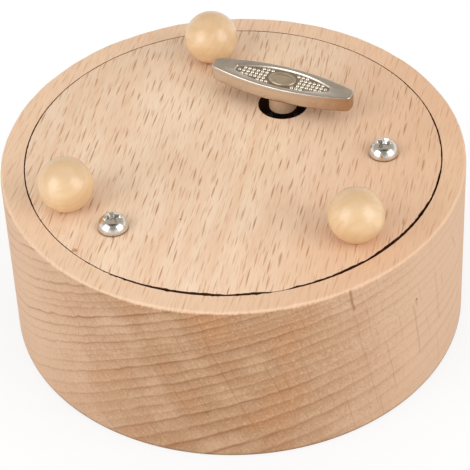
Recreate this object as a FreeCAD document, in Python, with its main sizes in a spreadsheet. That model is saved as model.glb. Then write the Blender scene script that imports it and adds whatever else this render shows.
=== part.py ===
import FreeCAD, Part
import math
import os
import re

import Sketcher
from FreeCAD import Vector

# A round wooden music box, stored bottom side up. The origin is the centre of the closed flat face
# that it lies on, +Z points out of the base plate, and all lengths are millimetres.
#
# The movement has a frame of its own, turned by movement_turn about the winding arbor: along points
# from the governor to the arbor's side, across points away from the comb, and depth is counted from
# the plate's inner face into the drum.

SIZES = (
    # the wooden case
    ("drum_diameter", 85.0, "outside of the drum"),
    ("drum_height", 35.0, "from the closed face to the rim"),
    ("drum_wall", 5.85, "wood around the movement"),
    ("crown_thickness", 5.0, "closed end of the drum"),
    ("rim_wall", 4.35, "wood around the base plate"),
    ("rim_edge_round", 0.7, "rounded outer edge at the rim"),
    ("crown_edge_round", 1.0, "rounded outer edge at the closed face"),
    ("plate_thickness", 5.0, "base plate, flush with the rim"),
    ("plate_gap", 0.35, "laser kerf around the base plate"),
    ("plate_edge_round", 0.2, "softened edge of the base plate"),
    ("key_hole_diameter", 9.3, "hole for the key's boss"),
    ("key_hole_x", 9.9, "winding axis, to the right of the drum's axis"),
    ("key_hole_y", 14.2, "winding axis, behind the drum's axis"),
    # the feet
    ("ball_diameter", 10.0, "turned ball foot"),
    ("ball_flat_depth", 0.25, "flat ground on a ball where it is glued"),
    ("foot_one_inset", 7.75, "from the plate's edge to the first ball's centre"),
    ("foot_one_angle", 95.7, "first ball's direction in degrees"),
    ("foot_two_inset", 5.6, "from the plate's edge to the second ball's centre"),
    ("foot_two_angle", 201.9, "second ball's direction in degrees"),
    ("foot_three_inset", 5.8, "from the plate's edge to the third ball's centre"),
    ("foot_three_angle", 310.6, "third ball's direction in degrees"),
    ("dowel_diameter", 3.0, "dowel between ball and plate"),
    ("dowel_sunk", 4.0, "dowel's length in the plate"),
    ("dowel_raised", 4.0, "dowel's length in the ball"),
    ("dowel_gap", 0.05, "glue space around a dowel and past its ends"),
    # the screws through the base plate
    ("screw_diameter", 3.0, "movement screw's thread"),
    ("screw_length", 9.0, "movement screw under its head"),
    ("screw_head_diameter", 5.6, "pan head"),
    ("screw_head_height", 2.4, "pan head"),
    ("screw_head_round", 1.2, "pan head's shoulder"),
    ("screw_slot_width", 0.9, "cross recess, one bar's width"),
    ("screw_slot_length", 3.1, "cross recess, tip to tip"),
    ("screw_slot_depth", 1.2, "cross recess"),
    ("screw_hole_gap", 0.2, "around a screw in the wooden plate"),
    # the key
    ("key_length", 28.0, "grip, end to end"),
    ("key_width", 7.0, "grip at its middle"),
    ("key_end_width", 2.6, "grip at its cut-off ends"),
    ("key_thickness", 3.2, "grip"),
    ("key_top_height", 6.1, "grip's outer face above the plate"),
    ("key_edge_round", 0.25, "grip's softened outline"),
    ("key_panel_length", 19.3, "sunk panel, tip to tip"),
    ("key_panel_width", 5.4, "sunk panel at its middle"),
    ("key_panel_end", 0.5, "sunk panel at its tips"),
    ("key_panel_depth", 0.4, "sunk panel"),
    ("key_medal_length", 5.4, "plain oval in the panel"),
    ("key_medal_width", 3.9, "plain oval in the panel"),
    ("key_medal_end", 1.75, "plain oval at its cut-off ends"),
    ("key_medal_height", 0.3, "plain oval above the panel's floor"),
    ("key_boss_diameter", 5.2, "boss under the grip"),
    ("key_boss_sunk", 0.5, "boss's end below the plate's outer face"),
    ("key_bore_depth", 4.0, "threaded bore in the boss"),
    ("key_turn_angle", -26.3, "grip's direction at rest in degrees"),
    # the movement's place and its bedplate
    ("movement_turn", 19.0, "movement's direction in degrees"),
    ("bed_thickness", 2.0, "die-cast bedplate"),
    ("bed_left", -38.4, "bedplate's edge past the governor"),
    ("bed_front", -24.2, "bedplate's edge along the mounting screws"),
    ("bed_back", 17.6, "bedplate's edge behind the governor"),
    ("bed_back_left", -30.5, "back edge's left corner"),
    ("bed_back_right", -19.0, "back edge's right corner"),
    ("bed_side", 10.0, "left edge's back corner"),
    ("bed_seat_radius", 14.2, "bedplate around the spring case"),
    ("ear_radius", 3.6, "ear around a mounting screw"),
    ("ear_height", 5.0, "threaded ear, from the bedplate's outer face"),
    ("ear_left", -40.6, "first mounting screw, along"),
    ("ear_right", 11.4, "second mounting screw, along"),
    ("ear_across", -20.8, "mounting screws, across"),
    # the spring and the winding arbor
    ("arbor_diameter", 4.0, "winding arbor in its bearings"),
    ("arbor_thread_diameter", 3.9, "arbor's thread in the key"),
    ("arbor_tip_gap", 0.3, "from the arbor's tip to the end of the key's bore"),
    ("arbor_gap", 0.05, "radial running clearance of the arbor"),
    ("arbor_collar_radius", 3.2, "collar under the bedplate"),
    ("arbor_collar_height", 0.3, "collar under the bedplate"),
    ("collar_play", 0.15, "from the bedplate to the collar"),
    ("case_radius", 13.0, "spring case"),
    ("case_height", 6.0, "spring case"),
    ("case_wall", 1.0, "spring case, wall and floor"),
    ("spring_thickness", 0.3, "mainspring strip"),
    ("spring_turns", 9.0, "mainspring"),
    ("spring_gap", 0.1, "around the mainspring strip's edges and ends"),
    # the crown gear that drives the cylinder, with its one-way click
    ("crown_teeth", 48.0, "crown gear"),
    ("crown_module", 0.45, "crown gear and cylinder pinion"),
    ("crown_face", 1.6, "crown gear's tooth length"),
    ("crown_gap", 0.3, "from the spring case to the crown gear"),
    ("crown_disc", 0.8, "crown gear's disc"),
    ("crown_hub_radius", 3.4, "crown gear's hub"),
    ("crown_hub_height", 1.0, "crown gear's hub past the disc"),
    ("pressure_angle", 20.0, "all gear teeth, in degrees"),
    ("tooth_share", 0.37, "a tooth's share of the pitch"),
    ("tooth_root_gap", 0.1, "from a tooth's tip to the other gear's root"),
    ("tooth_height_share", 0.85, "a tooth's height above the pitch line, in modules"),
    ("ratchet_radius", 4.2, "ratchet wheel"),
    ("ratchet_root", 3.5, "ratchet wheel between its teeth"),
    ("ratchet_teeth", 12.0, "ratchet wheel"),
    ("ratchet_height", 1.2, "ratchet wheel"),
    ("ratchet_gap", 0.2, "from the crown gear's hub to the ratchet wheel"),
    ("arbor_neck_radius", 1.5, "arbor through the ratchet wheel"),
    ("ring_groove_radius", 1.2, "arbor's groove for the retaining ring"),
    ("ring_radius", 2.8, "retaining ring"),
    ("ring_height", 0.6, "retaining ring"),
    ("ring_mouth", 1.9, "retaining ring's opening"),
    ("arbor_end", 0.9, "arbor past the retaining ring"),
    ("click_thickness", 0.35, "click spring's strip"),
    ("click_reach", 8.2, "click spring's foot from the arbor"),
    ("click_foot_start", 2.1, "click spring's foot, across"),
    ("click_foot_end", 4.2, "click spring's foot, across"),
    ("click_gap", 0.12, "click spring's tip off the ratchet teeth"),
    # the pinned cylinder
    ("cylinder_radius", 6.0, "brass cylinder"),
    ("cylinder_wall", 0.4, "brass cylinder"),
    ("pinion_teeth", 24.0, "cylinder pinion"),
    ("pinion_face", 1.6, "cylinder pinion's width"),
    ("shaft_radius", 0.8, "cylinder shaft"),
    ("shaft_gap", 0.05, "radial running clearance of the cylinder shaft"),
    ("shaft_past_pinion", 0.3, "cylinder shaft past the pinion"),
    ("cap_width", 1.0, "disc in each end of the cylinder"),
    ("track_count", 18.0, "notes"),
    ("track_pitch", 0.9, "from one note to the next"),
    ("cylinder_margin", 0.7, "cylinder past its outer notes"),
    ("arm_width", 1.6, "bearing arm between pinion and cylinder"),
    ("arm_gap", 0.7, "beside the bearing arm"),
    ("arm_half", 2.6, "bearing arm, half across"),
    ("arm_past", 2.6, "bearing arm past the shaft's axis"),
    ("pin_radius", 0.18, "one pin on the cylinder"),
    ("pin_height", 0.4, "one pin above the cylinder"),
    ("pin_root", 0.3, "one pin in the cylinder's wall"),
    ("beat_count", 30.0, "steps around the cylinder"),
    ("chord_beat_count", 4.0, "steps from one chord to the next"),
    ("chord_note_count", 7.0, "notes between a chord's two notes"),
    # the comb
    ("comb_thickness", 0.9, "steel comb"),
    ("comb_gap", 0.12, "from the pins to the comb's tips"),
    ("comb_slot", 0.2, "between two teeth"),
    ("tooth_short", 6.6, "free length of the highest note's tooth"),
    ("tooth_step", 0.12, "each lower note's tooth is longer by"),
    ("comb_back", -21.6, "comb's back edge, across"),
    ("comb_side_margin", 0.5, "comb's base past its outer teeth"),
    ("pedestal_front", -15.9, "comb's pedestal, front edge, across"),
    ("pedestal_margin", 0.3, "comb's pedestal inside the comb's outline"),
    ("comb_screw_diameter", 2.5, "comb screw"),
    ("comb_screw_head", 4.4, "comb screw"),
    ("comb_screw_height", 1.3, "comb screw's head"),
    ("comb_screw_length", 6.0, "comb screw under its head"),
    ("head_slot_width", 0.6, "slot in a comb or bracket screw"),
    ("comb_screw_inset", 4.2, "comb screw from the comb's side"),
    ("comb_screw_across", -18.9, "comb screws, across"),
    ("comb_hole_gap", 0.15, "around a comb screw in the comb"),
    ("weight_count", 7.0, "lowest notes with a lead weight"),
    ("weight_length", 3.6, "weight of the lowest note"),
    ("weight_step", 0.35, "each higher note's weight is shorter by"),
    ("weight_height", 1.2, "weight under its tooth"),
    ("weight_inset", 1.5, "from a tooth's tip to its weight"),
    # the governor
    ("cylinder_gear_teeth", 42.0, "gear on the cylinder's far end"),
    ("small_module", 0.3, "cylinder gear and first pinion"),
    ("fine_module", 0.25, "first governor wheel and second pinion"),
    ("small_face", 0.8, "governor gears' width"),
    ("cylinder_gear_gap", 0.2, "from the cylinder to its gear"),
    ("governor_pinion_teeth", 10.0, "both governor pinions"),
    ("first_wheel_teeth", 40.0, "first governor wheel"),
    ("mesh_gap", 0.03, "governor gears set apart by"),
    ("first_arbor_angle", 13.3, "first governor arbor seen from the cylinder, in degrees"),
    ("second_arbor_angle", 71.5, "second governor arbor seen from the first, in degrees"),
    ("governor_arbor_radius", 0.4, "both governor arbors"),
    ("governor_arbor_gap", 0.04, "radial running clearance of the governor's arbors"),
    ("left_arm_width", 1.0, "bedplate's arm past the governor wheels"),
    ("left_arm_gap", 0.6, "from the first governor wheel to the left arm"),
    ("left_arm_front", -3.0, "left arm, across"),
    ("wheel_gap", 0.5, "from the cylinder gear to the first governor wheel"),
    ("cheek_width", 0.8, "bedplate's bearing cheeks beside the cylinder"),
    ("cheek_gap", 0.5, "from the cylinder gear to the middle cheek"),
    ("far_cheek_gap", 1.0, "from the worm wheel to the far cheek"),
    ("cheek_margin", 0.65, "cheek past the arbor that it holds"),
    ("cheek_cover", 1.0, "cheek around an arbor, towards the drum's closed end"),
    ("worm_wheel_teeth", 30.0, "worm wheel"),
    ("worm_wheel_face", 0.9, "worm wheel's width"),
    ("worm_pitch_radius", 1.2, "worm"),
    ("worm_tooth_height", 0.2, "worm and its wheel, above the pitch line"),
    ("worm_tooth_root", 0.3, "worm and its wheel, below the pitch line"),
    ("worm_thread_length", 4.8, "worm"),
    ("worm_thread_sunk", 0.15, "worm's thread in its core"),
    ("worm_along", -27.0, "worm's axis, along"),
    ("worm_pivot_radius", 0.4, "worm shaft's pivots"),
    ("worm_pivot_gap", 0.05, "around the worm shaft's pivots"),
    ("worm_pivot_length", 0.95, "worm shaft's pivots"),
    ("worm_play", 0.15, "from the worm shaft's shoulders to its bearings"),
    ("fly_radius", 3.6, "air brake"),
    ("fly_thickness", 0.5, "air brake's blades"),
    ("fly_height", 4.4, "air brake's blades"),
    ("fly_hub_radius", 1.3, "air brake's hub"),
    ("fly_depth", 13.2, "top of the air brake, depth"),
    ("bracket_thickness", 1.0, "governor bracket"),
    ("bracket_half", 1.7, "governor bracket, half across"),
    ("bracket_gap", 0.7, "from the air brake to the bracket"),
    ("bracket_foot", 4.4, "governor bracket's foot"),
    ("bracket_past", 1.3, "governor bracket past the worm's axis"),
    ("bracket_screw_radius", 1.0, "bracket screw"),
    ("bracket_screw_head", 1.7, "bracket screw's head, radius"),
    ("bracket_screw_height", 1.2, "bracket screw's head"),
)

PLACES = (
    # the drum's bore around the movement, its recess and the base plate in it
    ("bore_radius", "drum_diameter / 2 - drum_wall"),
    ("recess_radius", "drum_diameter / 2 - rim_wall"),
    ("plate_radius", "recess_radius - plate_gap"),
    # heights above the closed face
    ("plate_underside", "drum_height - plate_thickness"),
    ("key_underside", "key_top_height - key_thickness"),
    # depths in the movement
    ("crown_top", "bed_thickness + case_height + crown_gap"),
    ("crown_radius", "crown_teeth * crown_module / 2"),
    ("tooth_height", "crown_module * tooth_height_share"),
    ("crown_root", "crown_top + crown_disc"),
    ("crown_tip", "crown_root + 2 * tooth_height + tooth_root_gap"),
    ("pitch_depth", "crown_root + tooth_height + tooth_root_gap"),
    ("pinion_radius", "pinion_teeth * crown_module / 2"),
    ("axle_depth", "pitch_depth + pinion_radius"),
    ("hub_end", "crown_root + crown_hub_height"),
    ("ratchet_top", "hub_end + ratchet_gap"),
    ("ratchet_end", "ratchet_top + ratchet_height"),
    # places along the cylinder, from the arbor towards the governor
    ("pinion_along", "-crown_radius"),
    ("arm_inner", "-(case_radius + arm_gap)"),
    ("cylinder_right", "arm_inner - arm_width - arm_gap"),
    ("cylinder_width", "(track_count - 1) * track_pitch + 2 * cylinder_margin"),
    ("cylinder_left", "cylinder_right - cylinder_width"),
    ("first_track", "cylinder_right - cylinder_margin"),
    ("last_track", "first_track - (track_count - 1) * track_pitch"),
    ("gear_along", "cylinder_left - cylinder_gear_gap - small_face / 2"),
    ("wheel_along", "gear_along - small_face - wheel_gap"),
    ("left_arm", "wheel_along - small_face / 2 - left_arm_gap"),
    ("left_arm_outer", "left_arm - left_arm_width"),
    ("cheek_left", "gear_along + small_face / 2 + cheek_gap"),
    ("cheek_right", "cheek_left + cheek_width"),
    # the comb
    ("pin_reach", "cylinder_radius + pin_height"),
    ("comb_tip", "-(pin_reach + comb_gap)"),
    ("comb_right", "first_track + track_pitch / 2 + comb_side_margin"),
    ("comb_left", "last_track - track_pitch / 2 - comb_side_margin"),
    # the governor's arbors
    ("first_distance", "(cylinder_gear_teeth + governor_pinion_teeth) * small_module / 2 + mesh_gap"),
    ("first_across", "first_distance * cos(first_arbor_angle)"),
    ("first_depth", "axle_depth - first_distance * sin(first_arbor_angle)"),
    ("second_distance", "(first_wheel_teeth + governor_pinion_teeth) * fine_module / 2 + mesh_gap"),
    ("second_across", "first_across + second_distance * cos(second_arbor_angle)"),
    ("second_depth", "first_depth - second_distance * sin(second_arbor_angle)"),
    ("worm_wheel_radius", "worm_wheel_teeth * small_module / 2"),
    ("worm_across", "second_across + worm_wheel_radius + worm_pitch_radius + mesh_gap"),
    ("far_cheek", "worm_along + worm_wheel_face / 2 + far_cheek_gap"),
    ("far_cheek_end", "far_cheek + cheek_width"),
    ("bracket_post", "worm_along + fly_radius + bracket_gap"),
    ("bracket_depth", "fly_depth + fly_height + bracket_gap"),
)


# two lengths closer than this are the same
SAME = 1e-6

# the feet's names, and the screws' places along the movement
FEET = ("one", "two", "three")
SCREWS = ("ear_left", "ear_right")
COMB_SCREWS = ("comb_right - comb_screw_inset", "comb_left + comb_screw_inset")
BRACKET_SCREW = "bracket_post + bracket_thickness + bracket_foot / 2"


def fill_sheet(name, rows):
    """Make a sheet with one named cell a row."""
    sheet = doc.addObject("Spreadsheet::Sheet", name)
    for row, (alias, content, meaning) in enumerate(rows, start=1):
        sheet.set(f"A{row}", meaning)
        sheet.set(f"B{row}", content)
        sheet.setAlias(f"B{row}", alias)
    return sheet


def bind(formula):
    """Point each plain name in a formula at its cell."""
    return re.sub(r"\b[a-z]+(?:_[a-z]+)+\b", lambda name: f"{SHEET_OF[name[0]]}.{name[0]}", formula)


def number(formula):
    """Work a formula out."""
    result = sizes.evalExpression(bind(formula))
    return float(getattr(result, "Value", result))


def count(name):
    """Give a whole number."""
    return round(number(name))


def camel(label):
    """Turn a label such as base_plate into an internal name such as BasePlate."""
    return label.title().replace("_", "")


def new_body(label):
    """Start a sub-part."""
    body = doc.addObject("PartDesign::Body", camel(label))
    body.Label = label
    pieces.append(body)
    return body


def new_sketch(body, role="XY_Plane", height=None):
    """Start a sketch on one of the body's own origin planes, or at a height above it."""
    sketch = body.newObject("Sketcher::SketchObject", body.Name + "Sketch")
    plane = next(item for item in body.Origin.OriginFeatures if item.Role == role)
    sketch.AttachmentSupport = [(plane, "")]
    sketch.MapMode = "FlatFace"
    if height is not None:
        sketch.setExpression("AttachmentOffset.Base.z", bind(height))
    return sketch


def hold(sketch, kind, geometry, vertex, formula):
    """Hold one coordinate of a point to a formula, or to the axis where it is zero."""
    amount = number(formula)
    if abs(amount) < SAME:
        axis = -2 if kind == "DistanceX" else -1
        sketch.addConstraint(Sketcher.Constraint("PointOnObject", geometry, vertex, axis))
        return
    index = sketch.addConstraint(Sketcher.Constraint(kind, -1, 1, geometry, vertex, amount))
    sketch.setExpression(f"Constraints[{index}]", bind(formula))


def outline(sketch, corners):
    """Draw straight lines through corners given as pairs of formulas."""
    spots = [Vector(number(x), number(y), 0) for x, y in corners]
    first = sketch.GeometryCount
    for here, there in zip(spots, spots[1:] + spots[:1]):
        sketch.addGeometry(Part.LineSegment(here, there))
    for k, (x, y) in enumerate(corners):
        before = first + (k - 1) % len(corners)
        sketch.addConstraint(Sketcher.Constraint("Coincident", before, 2, first + k, 1))
        hold(sketch, "DistanceX", first + k, 1, x)
        hold(sketch, "DistanceY", first + k, 1, y)


def rectangle(sketch, left, right, low, high):
    """Draw a rectangle between four formulas."""
    outline(sketch, ((left, low), (right, low), (right, high), (left, high)))


def circle(sketch, x, y, radius):
    """Draw a circle."""
    centre = Vector(number(x), number(y), 0)
    index = sketch.addGeometry(Part.Circle(centre, Vector(0, 0, 1), number(radius)))
    hold(sketch, "DistanceX", index, 3, x)
    hold(sketch, "DistanceY", index, 3, y)
    size = sketch.addConstraint(Sketcher.Constraint("Radius", index, number(radius)))
    sketch.setExpression(f"Constraints[{size}]", bind(radius))


def lens(sketch, length, width, end_width):
    """Draw a lens with cut-off ends: two arcs of one radius and two short straight ends."""
    half, rise = number(length) / 2, number(width) / 2
    end = number(end_width) / 2
    bow = f"((({length}) / 2) ^ 2 + (({width} - {end_width}) / 2) ^ 2) / ({width} - {end_width})"
    right_low, right_high = Vector(half, -end, 0), Vector(half, end, 0)
    left_high, left_low = Vector(-half, end, 0), Vector(-half, -end, 0)
    upper = Part.Arc(right_high, Vector(0, rise, 0), left_high)
    lower = Part.Arc(left_low, Vector(0, -rise, 0), right_low)
    sketch.addGeometry(Part.LineSegment(right_low, right_high))
    sketch.addGeometry(upper)
    sketch.addGeometry(Part.LineSegment(left_high, left_low))
    sketch.addGeometry(lower)
    for here, there in ((0, 1), (1, 2), (2, 3), (3, 0)):
        sketch.addConstraint(Sketcher.Constraint("Coincident", here, 2, there, 1))
    signs = ((0, 1, "", "-"), (0, 2, "", ""), (2, 1, "-", ""), (2, 2, "-", "-"))
    for geometry, vertex, x_sign, y_sign in signs:
        hold(sketch, "DistanceX", geometry, vertex, f"{x_sign}{length} / 2")
        hold(sketch, "DistanceY", geometry, vertex, f"{y_sign}{end_width} / 2")
    for arc in (1, 3):
        index = sketch.addConstraint(Sketcher.Constraint("Radius", arc, number(bow)))
        sketch.setExpression(f"Constraints[{index}]", bind(bow))


def pad(body, sketch, length, down=False):
    """Extrude a sketch, upwards or downwards."""
    feature = body.newObject("PartDesign::Pad", body.Name + "Pad")
    feature.Profile = sketch
    feature.Reversed = down
    feature.setExpression("Length", bind(length))
    doc.recompute()


def pocket(body, sketch, depth=None, reverse=False):
    """Cut a sketch into the body, to a depth or all the way, and make sure that it cuts."""
    before = body.Shape.Volume
    feature = body.newObject("PartDesign::Pocket", body.Name + "Pocket")
    feature.Profile = sketch
    feature.Reversed = reverse
    if depth is None:
        feature.Type = "ThroughAll"
    else:
        feature.setExpression("Length", bind(depth))
    doc.recompute()
    if not body.Shape.Volume < before:
        raise RuntimeError(f"{feature.Label} cuts nothing")


def turn(body, sketch, axis):
    """Revolve a sketch about one of its own axes."""
    feature = body.newObject("PartDesign::Revolution", body.Name + "Turned")
    feature.Profile = sketch
    feature.ReferenceAxis = (sketch, [axis])
    feature.Angle = 360
    doc.recompute()


def fillet(body, radius, wanted):
    """Round the edges that a test picks."""
    base = body.Tip
    names = [f"Edge{k}" for k, edge in enumerate(base.Shape.Edges, start=1) if wanted(edge)]
    if not names:
        raise RuntimeError(f"{body.Label} has no such edge to round")
    feature = body.newObject("PartDesign::Fillet", body.Name + "Round")
    feature.Base = (base, names)
    feature.setExpression("Radius", bind(radius))
    doc.recompute()


def round_edge(height, radius):
    """Make a test for full circles of one radius at one height."""
    level, size = number(height), number(radius)

    def wanted(edge):
        if not isinstance(edge.Curve, Part.Circle):
            return False
        return abs(edge.Curve.Center.z - level) < SAME and abs(edge.Curve.Radius - size) < SAME

    return wanted


def upright(label, corners):
    """Turn a profile of (radius, height) pairs about the Z axis."""
    body = new_body(label)
    sketch = new_sketch(body, "XZ_Plane")
    outline(sketch, corners)
    turn(body, sketch, "V_Axis")
    return body


def lengthwise(label, corners):
    """Turn a profile of (place along, radius) pairs about the X axis."""
    body = new_body(label)
    sketch = new_sketch(body, "XZ_Plane")
    outline(sketch, corners)
    turn(body, sketch, "H_Axis")
    return body


def tube_profile(left, right, inner, outer):
    """Give the profile of a tube or disc for lengthwise()."""
    return (left, inner), (right, inner), (right, outer), (left, outer)


def made(label, shape):
    """Add a sub-part whose curves no sketch describes, such as gear teeth."""
    piece = doc.addObject("Part::Feature", camel(label))
    piece.Label = label
    piece.Shape = shape
    pieces.append(piece)
    return piece


def place(piece, x="0", y="0", z="0", angle=None):
    """Put a sub-part in the case."""
    for key, formula in (("x", x), ("y", y), ("z", z)):
        piece.setExpression(f"Placement.Base.{key}", bind(formula))
    if angle is not None:
        piece.setExpression("Placement.Rotation.Angle", bind(angle))


def place_in_movement(piece, along="0", across="0", depth="0"):
    """Put a sub-part in the movement's frame."""
    place(
        piece,
        f"key_hole_x + ({along}) * cos(movement_turn) - ({across}) * sin(movement_turn)",
        f"key_hole_y + ({along}) * sin(movement_turn) + ({across}) * cos(movement_turn)",
        f"plate_underside - ({depth})",
        "movement_turn",
    )


def gear_corners(teeth, module, height, root, phase):
    """Give an involute gear's outline as (radius, angle) pairs, with one tooth centred on phase."""
    pitch_radius = teeth * module / 2
    share = number("tooth_share")
    pressure = math.radians(number("pressure_angle"))
    base_radius = pitch_radius * math.cos(pressure)
    tip, bottom = pitch_radius + height, pitch_radius - root
    start = max(base_radius, bottom)
    flank = []
    for rise in (0, 1 / 3, 2 / 3, 1):
        radius = start + (tip - start) * rise
        slope = math.acos(min(1.0, base_radius / radius))
        spread = math.tan(pressure) - pressure - math.tan(slope) + slope
        flank.append((radius, math.pi * share / teeth + spread))
    if bottom < base_radius:
        flank.insert(0, (bottom, flank[0][1]))
    corners = []
    for tooth in range(teeth):
        middle = phase + 2 * math.pi * tooth / teeth
        corners += [(radius, middle - half) for radius, half in flank]
        corners += [(radius, middle + half) for radius, half in reversed(flank)]
    return corners


def spur_gear(teeth, module, face, bore, phase, height=None, root=None, lean=0.0):
    """Make a gear about the X axis, centred on the origin; lean is the slope of its teeth."""
    teeth, step = count(teeth), number(module)
    height = number(height or f"{module} * tooth_height_share")
    root = number(root) if root else height + number("tooth_root_gap")
    half = number(face) / 2
    pitch_radius = teeth * step / 2
    rings = []
    for side in (-half, half):
        twist = phase + side * lean / pitch_radius
        corners = gear_corners(teeth, step, height, root, twist)
        spots = [Vector(side, r * math.cos(a), r * math.sin(a)) for r, a in corners]
        rings.append(Part.makePolygon(spots + spots[:1]))
    if lean:
        solid = Part.makeLoft(rings, True, True)
    else:
        solid = Part.Face(rings[0]).extrude(Vector(2 * half, 0, 0))
    hole = Part.makeCylinder(number(bore), 4 * half, Vector(-2 * half, 0, 0), Vector(1, 0, 0))
    return solid.cut(hole)


def crown_gear():
    """Make the face gear: a disc with radial teeth on its inner side, hanging below the origin."""
    teeth = count("crown_teeth")
    pitch_radius = number("crown_radius")
    half_face = number("crown_face") / 2
    height, gap = number("tooth_height"), number("tooth_root_gap")
    disc_height = number("crown_disc")
    pitch_half = number("tooth_share") * math.pi * number("crown_module") / 2
    slope = math.tan(math.radians(number("pressure_angle")))
    outer = pitch_radius + half_face
    overlap = disc_height / 4
    levels = (
        (disc_height - overlap, pitch_half + (height + gap) * slope),
        (disc_height + gap, pitch_half + height * slope),
        (disc_height + 2 * height + gap, pitch_half - height * slope),
    )
    first_depth, last_depth = levels[0][0], levels[-1][0]
    foot, crest = levels[1][1], levels[2][1]
    teeth_solids = []
    for index in range(teeth):
        rings = []
        for radius in (pitch_radius - half_face, outer):
            share = radius / pitch_radius
            rim = math.sqrt(max(radius ** 2 - (foot * share) ** 2, 0.0)) if radius == outer else radius
            corners = [
                Vector(-rim, -foot * share, -first_depth),
                Vector(-rim, foot * share, -first_depth),
                Vector(-rim, crest * share, -last_depth),
                Vector(-rim, -crest * share, -last_depth),
            ]
            rings.append(Part.makePolygon(corners + corners[:1]))
        tooth = Part.makeLoft(rings, True, True)
        tooth.rotate(Vector(0, 0, 0), Vector(0, 0, 1), 360.0 * index / teeth)
        teeth_solids.append(tooth)
    disc = Part.makeCylinder(outer, disc_height, Vector(0, 0, -disc_height))
    hub_height = disc_height + number("crown_hub_height")
    hub = Part.makeCylinder(number("crown_hub_radius"), hub_height, Vector(0, 0, -hub_height))
    body = disc.multiFuse(teeth_solids + [hub])
    bore_radius = number("arbor_diameter / 2 + arbor_gap")
    bore = Part.makeCylinder(bore_radius, 2 * hub_height, Vector(0, 0, -1.5 * hub_height))
    return body.cut(bore).removeSplitter()


def mainspring():
    """Make the spiral strip out of half circles, hanging below the origin."""
    thickness = number("spring_thickness")
    inner = number("arbor_diameter / 2 + spring_gap")
    outer = number("case_radius - case_wall - spring_gap")
    halves = 2 * count("spring_turns")
    growth = (outer - inner - thickness) / halves
    inside, outside = [], []
    for k in range(halves):
        side = 1 if k % 2 == 0 else -1
        centre = -side * growth / 2
        radius = inner + growth / 2 + k * growth
        for edges, size in ((inside, radius), (outside, radius + thickness)):
            start = Vector(centre + side * size, 0, 0)
            middle = Vector(centre, side * size, 0)
            end = Vector(centre - side * size, 0, 0)
            edges.append(Part.Arc(start, middle, end).toShape())
    closing = [
        Part.LineSegment(pair[0].Vertexes[at].Point, pair[1].Vertexes[at].Point).toShape()
        for pair, at in (((inside[0], outside[0]), 0), ((inside[-1], outside[-1]), -1))
    ]
    face = Part.Face(Part.Wire(Part.__sortEdges__(inside + outside + closing)))
    strip = number("case_height - case_wall - collar_play - arbor_collar_height - 2 * spring_gap")
    return face.extrude(Vector(0, 0, -strip))


def ratchet_wheel():
    """Make the saw-toothed wheel on the arbor, hanging below the origin."""
    teeth, height = count("ratchet_teeth"), number("ratchet_height")
    spots = []
    for k in range(teeth):
        angle = 2 * math.pi * k / teeth
        for radius in (number("ratchet_root"), number("ratchet_radius")):
            spots.append(Vector(radius * math.cos(angle), radius * math.sin(angle), 0))
    blank = Part.Face(Part.makePolygon(spots + spots[:1])).extrude(Vector(0, 0, -height))
    bore = Part.makeCylinder(number("arbor_neck_radius"), 2 * height, Vector(0, 0, -1.5 * height))
    return blank.cut(bore)


def cylinder_pins():
    """Make the pins of a plain exercise: rising and falling scales and chords around the cylinder."""
    tracks, steps = count("track_count"), count("beat_count")
    interval, chord_steps = count("chord_note_count"), count("chord_beat_count")
    radius, length = number("pin_radius"), number("pin_root + pin_height")
    pins = []
    for beat in range(steps):
        climb = beat % (2 * tracks - 2)
        tune = climb if climb < tracks else 2 * tracks - 2 - climb
        notes = {tune, (tune + interval) % tracks} if beat % chord_steps == 0 else {tune}
        angle = 2 * math.pi * (beat + 0.5) / steps
        outward = Vector(0, math.cos(angle), math.sin(angle))
        for note in sorted(notes):
            along = number("first_track") - note * number("track_pitch")
            foot = Vector(along, 0, 0) + outward * number("cylinder_radius - pin_root")
            pins.append(Part.makeCylinder(radius, length, foot, outward))
    return Part.makeCompound(pins)


def worm():
    """Make the worm about the Z axis with the worm wheel's height at the origin."""
    pitch = math.pi * number("small_module")
    pitch_radius = number("worm_pitch_radius")
    tip = pitch_radius + number("worm_tooth_height")
    root = pitch_radius - number("worm_tooth_root")
    length = number("worm_thread_length")
    slope = math.tan(math.radians(number("pressure_angle")))
    half = number("tooth_share") * pitch / 2
    sunk = root - number("worm_thread_sunk")
    crest = half - (tip - pitch_radius) * slope
    foot = half + (pitch_radius - sunk) * slope
    start = -length / 2
    corners = [
        Vector(sunk, 0, start - foot),
        Vector(tip, 0, start - crest),
        Vector(tip, 0, start + crest),
        Vector(sunk, 0, start + foot),
    ]
    path = Part.makeHelix(pitch, length, root)
    path.translate(Vector(0, 0, start))
    section = Part.makePolygon(corners + corners[:1])
    thread = Part.Wire(path.Edges).makePipeShell([section], True, True)
    turns_to_wheel = start / pitch - 1 / 4
    thread.rotate(Vector(0, 0, 0), Vector(0, 0, 1), 360 * turns_to_wheel)
    lowest = -number("bracket_depth - second_depth - worm_play")
    highest = number("second_depth - bed_thickness - worm_play")
    core = Part.makeCylinder(root, highest - lowest, Vector(0, 0, lowest))
    pivot = number("worm_pivot_length")
    pivot_radius = number("worm_pivot_radius")
    low_pivot = Part.makeCylinder(pivot_radius, pivot, Vector(0, 0, lowest - pivot))
    high_pivot = Part.makeCylinder(pivot_radius, pivot, Vector(0, 0, highest))
    return core.multiFuse([thread, low_pivot, high_pivot])


def grouped(label, master, spots):
    """Repeat one fastener at several places as separate solids of one sub-part."""
    doc.recompute()
    copies = []
    for spot in spots:
        copy = master.Shape.copy()
        copy.translate(Vector(*spot))
        copies.append(copy)
    return made(label, Part.makeCompound(copies))


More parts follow.
